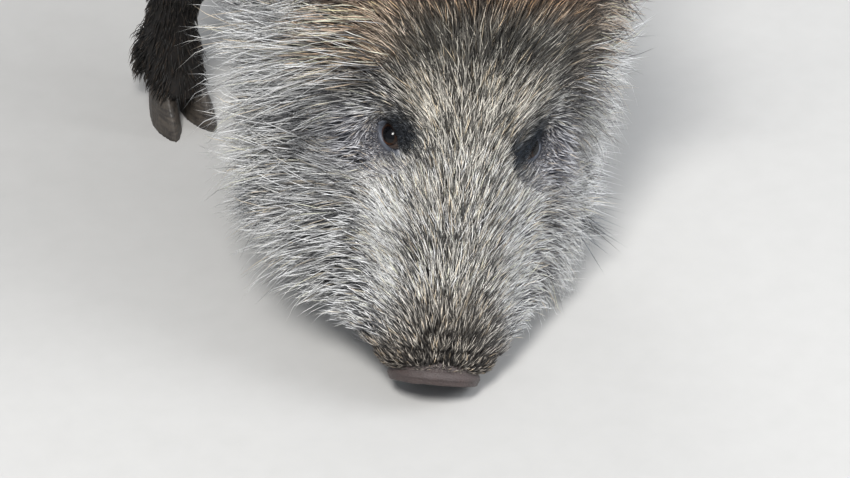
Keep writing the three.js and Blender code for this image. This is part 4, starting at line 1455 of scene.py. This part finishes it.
def lid_material():
    """The lids: a moist blue-grey rim, and dark skin beyond it, whose colour holds painted shade over
    the upper lid.
    """
    shader = Shader("lids")
    root = shader.attribute("root_colour", "Color")
    bare = shader.attribute("bare")
    nap = shader.noise(500.0, 4.0, 0.6)
    rim = shader.mix(nap, (0.036, 0.041, 0.054, 1), (0.115, 0.128, 0.158, 1))
    shader.set(Base_Color=shader.mix(bare, root, rim))
    shader.set(Roughness=shader.range(bare, 0.0, 1.0, 0.7, 0.34))
    shader.set(Specular_IOR_Level=0.4)
    shader.bump(nap, 0.5, 0.0008)
    return shader.material


def eye_material():
    """A dark oval pupil in an orange-brown iris, under a wet surface. The iris carries painted light
    towards its lower side and painted shade towards its upper side.
    """
    shader = Shader("eyeball")
    iris = shader.attribute("iris")
    pupil = shader.attribute("pupil")
    spokes = shader.attribute("spokes", "Vector")
    streaks = shader.noise(7.0, 4.0, 0.65, spokes)
    high = shader.node("ShaderNodeSeparateXYZ", {"Vector": spokes}).outputs["Y"]
    # Painted light and shade: the iris turns bright orange towards its lower side, as if lit through
    # the cornea, and dark towards its upper side, as if in the lid's shade.
    painted_light_and_shade = shader.mix(shader.range(high, 0.3, -0.9), (0.020, 0.009, 0.005, 1), (0.23, 0.080, 0.027, 1))
    warm = shader.mix(streaks, (0.030, 0.012, 0.005, 1), painted_light_and_shade)
    inner = shader.mix(shader.range(pupil, 1.0, 1.35), (0.018, 0.008, 0.004, 1), warm)
    rimmed = shader.mix(shader.range(iris, 0.84, 1.0), inner, (0.012, 0.007, 0.006, 1))
    white = shader.mix(shader.range(iris, 1.0, 1.12), rimmed, (0.10, 0.075, 0.065, 1))
    shader.set(Base_Color=shader.mix(shader.range(pupil, 0.93, 1.04), (0.002, 0.002, 0.003, 1), white))
    shader.set(Roughness=0.15, Specular_IOR_Level=0.1)
    shader.set(Coat_Weight=0.6, Coat_Roughness=0.03, Coat_IOR=1.35)
    shader.bump(streaks, 0.05, 0.0004)
    return shader.material


def nose_material():
    """The bare nose disc: dark, grey and a little pink, moist and finely wrinkled, with painted shade
    deep in the nostrils.
    """
    shader = Shader("nose_skin")
    blotch = shader.noise(70.0, 4.0, 0.6)
    pores = shader.noise(650.0, 4.0, 0.65)
    dark = shader.mix(blotch, (0.022, 0.018, 0.018, 1), (0.080, 0.052, 0.047, 1))
    skin = shader.mix(shader.range(pores, 0.35, 0.7), dark, (0.060, 0.046, 0.044, 1))
    # Painted shade: where the nostrils run deep, their colour is darkened nearly to black.
    shader.set(Base_Color=shader.mix(shader.attribute("deep"), skin, (0.005, 0.003, 0.003, 1)))
    shader.set(Roughness=shader.range(pores, 0.3, 0.7, 0.30, 0.56))
    shader.bump(pores, 0.7, 0.0014)
    return shader.material


def horn_material():
    """Dark horn with growth bands and lengthwise streaks."""
    shader = Shader("horn")
    place = shader.node("ShaderNodeTexCoord").outputs["Object"]
    bands = shader.node("ShaderNodeMapping", {"Vector": place, "Scale": (60, 60, 420)}).outputs[0]
    streaks = shader.node("ShaderNodeMapping", {"Vector": place, "Scale": (500, 500, 60)}).outputs[0]
    band = shader.noise(1.0, 3.0, 0.6, bands)
    streak = shader.noise(1.0, 3.0, 0.6, streaks)
    base = shader.mix(shader.range(band, 0.3, 0.75), (0.020, 0.017, 0.015, 1), (0.075, 0.062, 0.050, 1))
    pale = shader.range(streak, 0.5, 0.8, 0.0, 0.5)
    shader.set(Base_Color=shader.mix(pale, base, (0.13, 0.11, 0.09, 1)))
    shader.set(Roughness=shader.range(band, 0.3, 0.7, 0.42, 0.66))
    shader.bump(band, 0.35, 0.0007)
    return shader.material


# ------------------------------------------------------------------ the studio
FLOOR = 14.0  # half its side


def add_floor():
    corners = [(-FLOOR, -FLOOR, 0), (FLOOR, -FLOOR, 0), (FLOOR, FLOOR, 0), (-FLOOR, FLOOR, 0)]
    floor = new_object("floor", corners, [[0, 1, 2, 3]])
    shader = Shader("floor")
    speck = shader.noise(40.0, 4.0)
    shader.set(Base_Color=shader.mix(speck, (0.44, 0.435, 0.425, 1), (0.48, 0.475, 0.465, 1)))
    shader.set(Roughness=0.8)
    floor.data.materials.append(shader.material)


def add_light(name, place, aim, size, power, tint):
    data = bpy.data.lights.new(name, "AREA")
    data.size = size
    data.energy = power
    data.color = tint
    light = linked(name, data)
    light.location = place
    light.rotation_euler = (Vector(aim) - Vector(place)).to_track_quat("-Z", "Y").to_euler()


def add_studio():
    add_floor()
    aim = (0, 0, 0.3)
    add_light("key", (-1.3, -1.9, 2.9), aim, 0.9, 136, (1.0, 0.985, 0.96))
    add_light("fill", (2.3, -1.9, 1.9), aim, 1.8, 78, (0.95, 0.97, 1.0))
    add_light("rim", (0.6, 2.4, 2.2), aim, 1.6, 40, (1.0, 1.0, 1.0))
    world = bpy.data.worlds.new("studio")
    world.use_nodes = True
    world.node_tree.nodes["Background"].inputs["Color"].default_value = (0.80, 0.85, 0.92, 1)
    world.node_tree.nodes["Background"].inputs["Strength"].default_value = 0.5
    bpy.context.scene.world = world
    bpy.context.scene.view_settings.view_transform = "Standard"


# ------------------------------------------------------------------ putting her together
add_camera()
add_studio()
COAT_MATERIAL = coat_material()
SKIN_MATERIAL = skin_material()
LID_MATERIAL = lid_material()
EYE_MATERIAL = eye_material()
NOSE_MATERIAL = nose_material()
HORN_MATERIAL = horn_material()



def prepared_skin():
    """The skin with what the coat needs to grow on it, and its surface before the eyes' hollows."""
    skin = build_skin()
    surface = tree_of(skin["verts"], skin["tris"])
    skin["verts"] = dish_under_eyes(skin["verts"])
    skin["normals"] = vertex_normals(skin["verts"], skin["tris"])
    skin["soft"] = softened(skin)
    skin["flow"] = coat_flow(skin)
    skin["length"] = coat_length(skin["verts"], skin["soft"])
    skin["room"] = outline_room(skin)
    skin["lines"] = middle_lines(skin)
    return skin, surface


def add_skin(skin):
    piece = new_object("skin", skin["verts"], skin["tris"])
    layer = piece.data.uv_layers.new(name="OFBake")
    layer.data.foreach_set("uv", skin_map(skin, skin["lines"]).ravel())
    root, tip, _ = markings(skin["verts"], skin["soft"])
    dress(piece, SKIN_MATERIAL, "coat", FLESH, root_colour=root, tip_colour=tip)


def add_lids(side, name, skin, surface):
    """One eye's lids, with their hair and lashes."""
    lids = build_lids(side, surface)
    piece = new_object("lids_" + name, lids["verts"], lids["tris"])
    root, tip, _ = markings(lids["verts"], lids["soft"])
    dress(piece, LID_MATERIAL, "dark_coat", root_colour=root, tip_colour=tip, bare=lids["bare"])
    lids["lines"] = skin["lines"]
    lids["ear_ends"] = skin["ear_ends"]
    lids["flow"] = coat_flow(lids)
    coat = "coat_lids_" + name
    grow(lids, coat, lids["furry"], 4600, 0.65, 2, {"stray": 0.2}, 10 + side, "dark_coat")
    add_lashes(name, lids, 20 + side)


# How far out the cheeks' long hair begins, at places along the snout, in mm.
CHEEK_LINE = [(-118, 58), (60, 56), (100, 48), (150, 35), (175, 37)]

FACE_LOOK = {"lift": (1.14, 1.14), "longer": 1.22, "stray": 0.28, "wave": 0.14}
FACE_LOOK |= {"eye_trim": 0.6, "split": FORWARDS}
CHEEK_LOOK = {"lift": (1.6, 1.15), "longer": 1.3, "stray": 0.2, "wave": 0.12, "droop": 0.14, "tie": 0.4}
CHEEK_LOOK |= {"eye_trim": 0.6, "shine": 1.25}
JOWL_LOOK = {"longer": 1.55, "stray": 0.2, "wave": 0.1, "droop": 0.2, "tie": 0.5, "sideways": True}
# The jowls' fringe is tinted a dark blue-grey: partly its own colour, partly painted shade under the
# head.
JOWL_LOOK |= {"tone": ("222427", "7d8186")}
WHISKER_LOOK = {"lift": (2.2, 1.5), "longer": 1.75, "stray": 0.3, "wave": 0.16, "droop": 0.2}
WHISKER_LOOK |= {"tie": 0.15, "tone": ("555557", "fffdf8"), "shine": 1.3}
BODY_LOOK = {"droop": 0.1, "tie": 0.4, "stray": 0.18}
FETLOCK_LOOK = {"lift": (3.2, 3.2), "longer": 1.9, "stray": 0.3, "droop": 0.1}
EAR_LOOK = {"longer": 1.7, "stray": 0.25}


def grow_coat(skin):
    verts, soft = skin["verts"], skin["soft"]
    place = on_head(verts)
    l, f, n = place.T
    far, gap = np.abs(l), eye_distance(place)
    face = np.clip(total(soft, HEAD), 0, 1) ** 1.5 * smoothstep(24, 28, gap)
    face *= smoothstep(186, 179, f) * (0.3 + 0.7 * smoothstep(7, 16, duct_distance(verts)))
    line = at_station(f, CHEEK_LINE, 1)
    cheeks = smoothstep(line, line + 18, far) * smoothstep(172, 158, f)
    cheeks = np.maximum(cheeks, smoothstep(-84, -104, n)) * smoothstep(38, 58, gap)
    jowls = hill(f, 95, 36) * smoothstep(16, 34, far) * smoothstep(-88, -104, n)
    jowls *= np.where(l < 0, 1, 0.4)
    whiskers = cheeks * smoothstep(-95, -60, n) * smoothstep(-100, -60, f)
    ears = total(soft, EARS)
    # name, where, how many, width in mm, parts, look, seed, slot
    for coat in [
        ("coat_face", face * (1 - cheeks), 38000, 1.15, 2, FACE_LOOK, 1, "coat"),
        ("coat_cheeks", face * cheeks, 15000, 1.3, 3, CHEEK_LOOK, 2, "coat"),
        ("coat_jowls", face * jowls, 1500, 1.3, 3, JOWL_LOOK, 8, "coat"),
        ("coat_whiskers", face * whiskers, 2200, 1.0, 4, WHISKER_LOOK, 12, "coat"),
        ("coat_neck", soft["neck"], 10500, 2.2, 3, BODY_LOOK, 3, "coat"),
        ("coat_trunk", soft["trunk"], 17000, 2.7, 3, BODY_LOOK, 4, "coat"),
        ("coat_legs", total(soft, LEGS), 16000, 1.75, 2, {"longer": 1.2}, 5, "dark_coat"),
        ("coat_fetlocks", by_dewclaws(verts), 2600, 1.5, 3, FETLOCK_LOOK, 9, "dark_coat"),
        ("coat_tail", soft["tail"], 1200, 1.8, 2, {}, 6, "dark_coat"),
        ("coat_ears", ears, 6000, 1.2, 2, EAR_LOOK, 7, "dark_coat"),
    ]:
        grow(skin, *coat)


skin, surface = prepared_skin()
add_skin(skin)
for side, name in ((-1, "right"), (1, "left")):
    add_lids(side, name, skin, surface)
    add_eye(side, name)
add_nose()
for node in NODES:
    if "hoof" in node or "dewclaw" in node:
        add_claw(node)
grow_coat(skin)
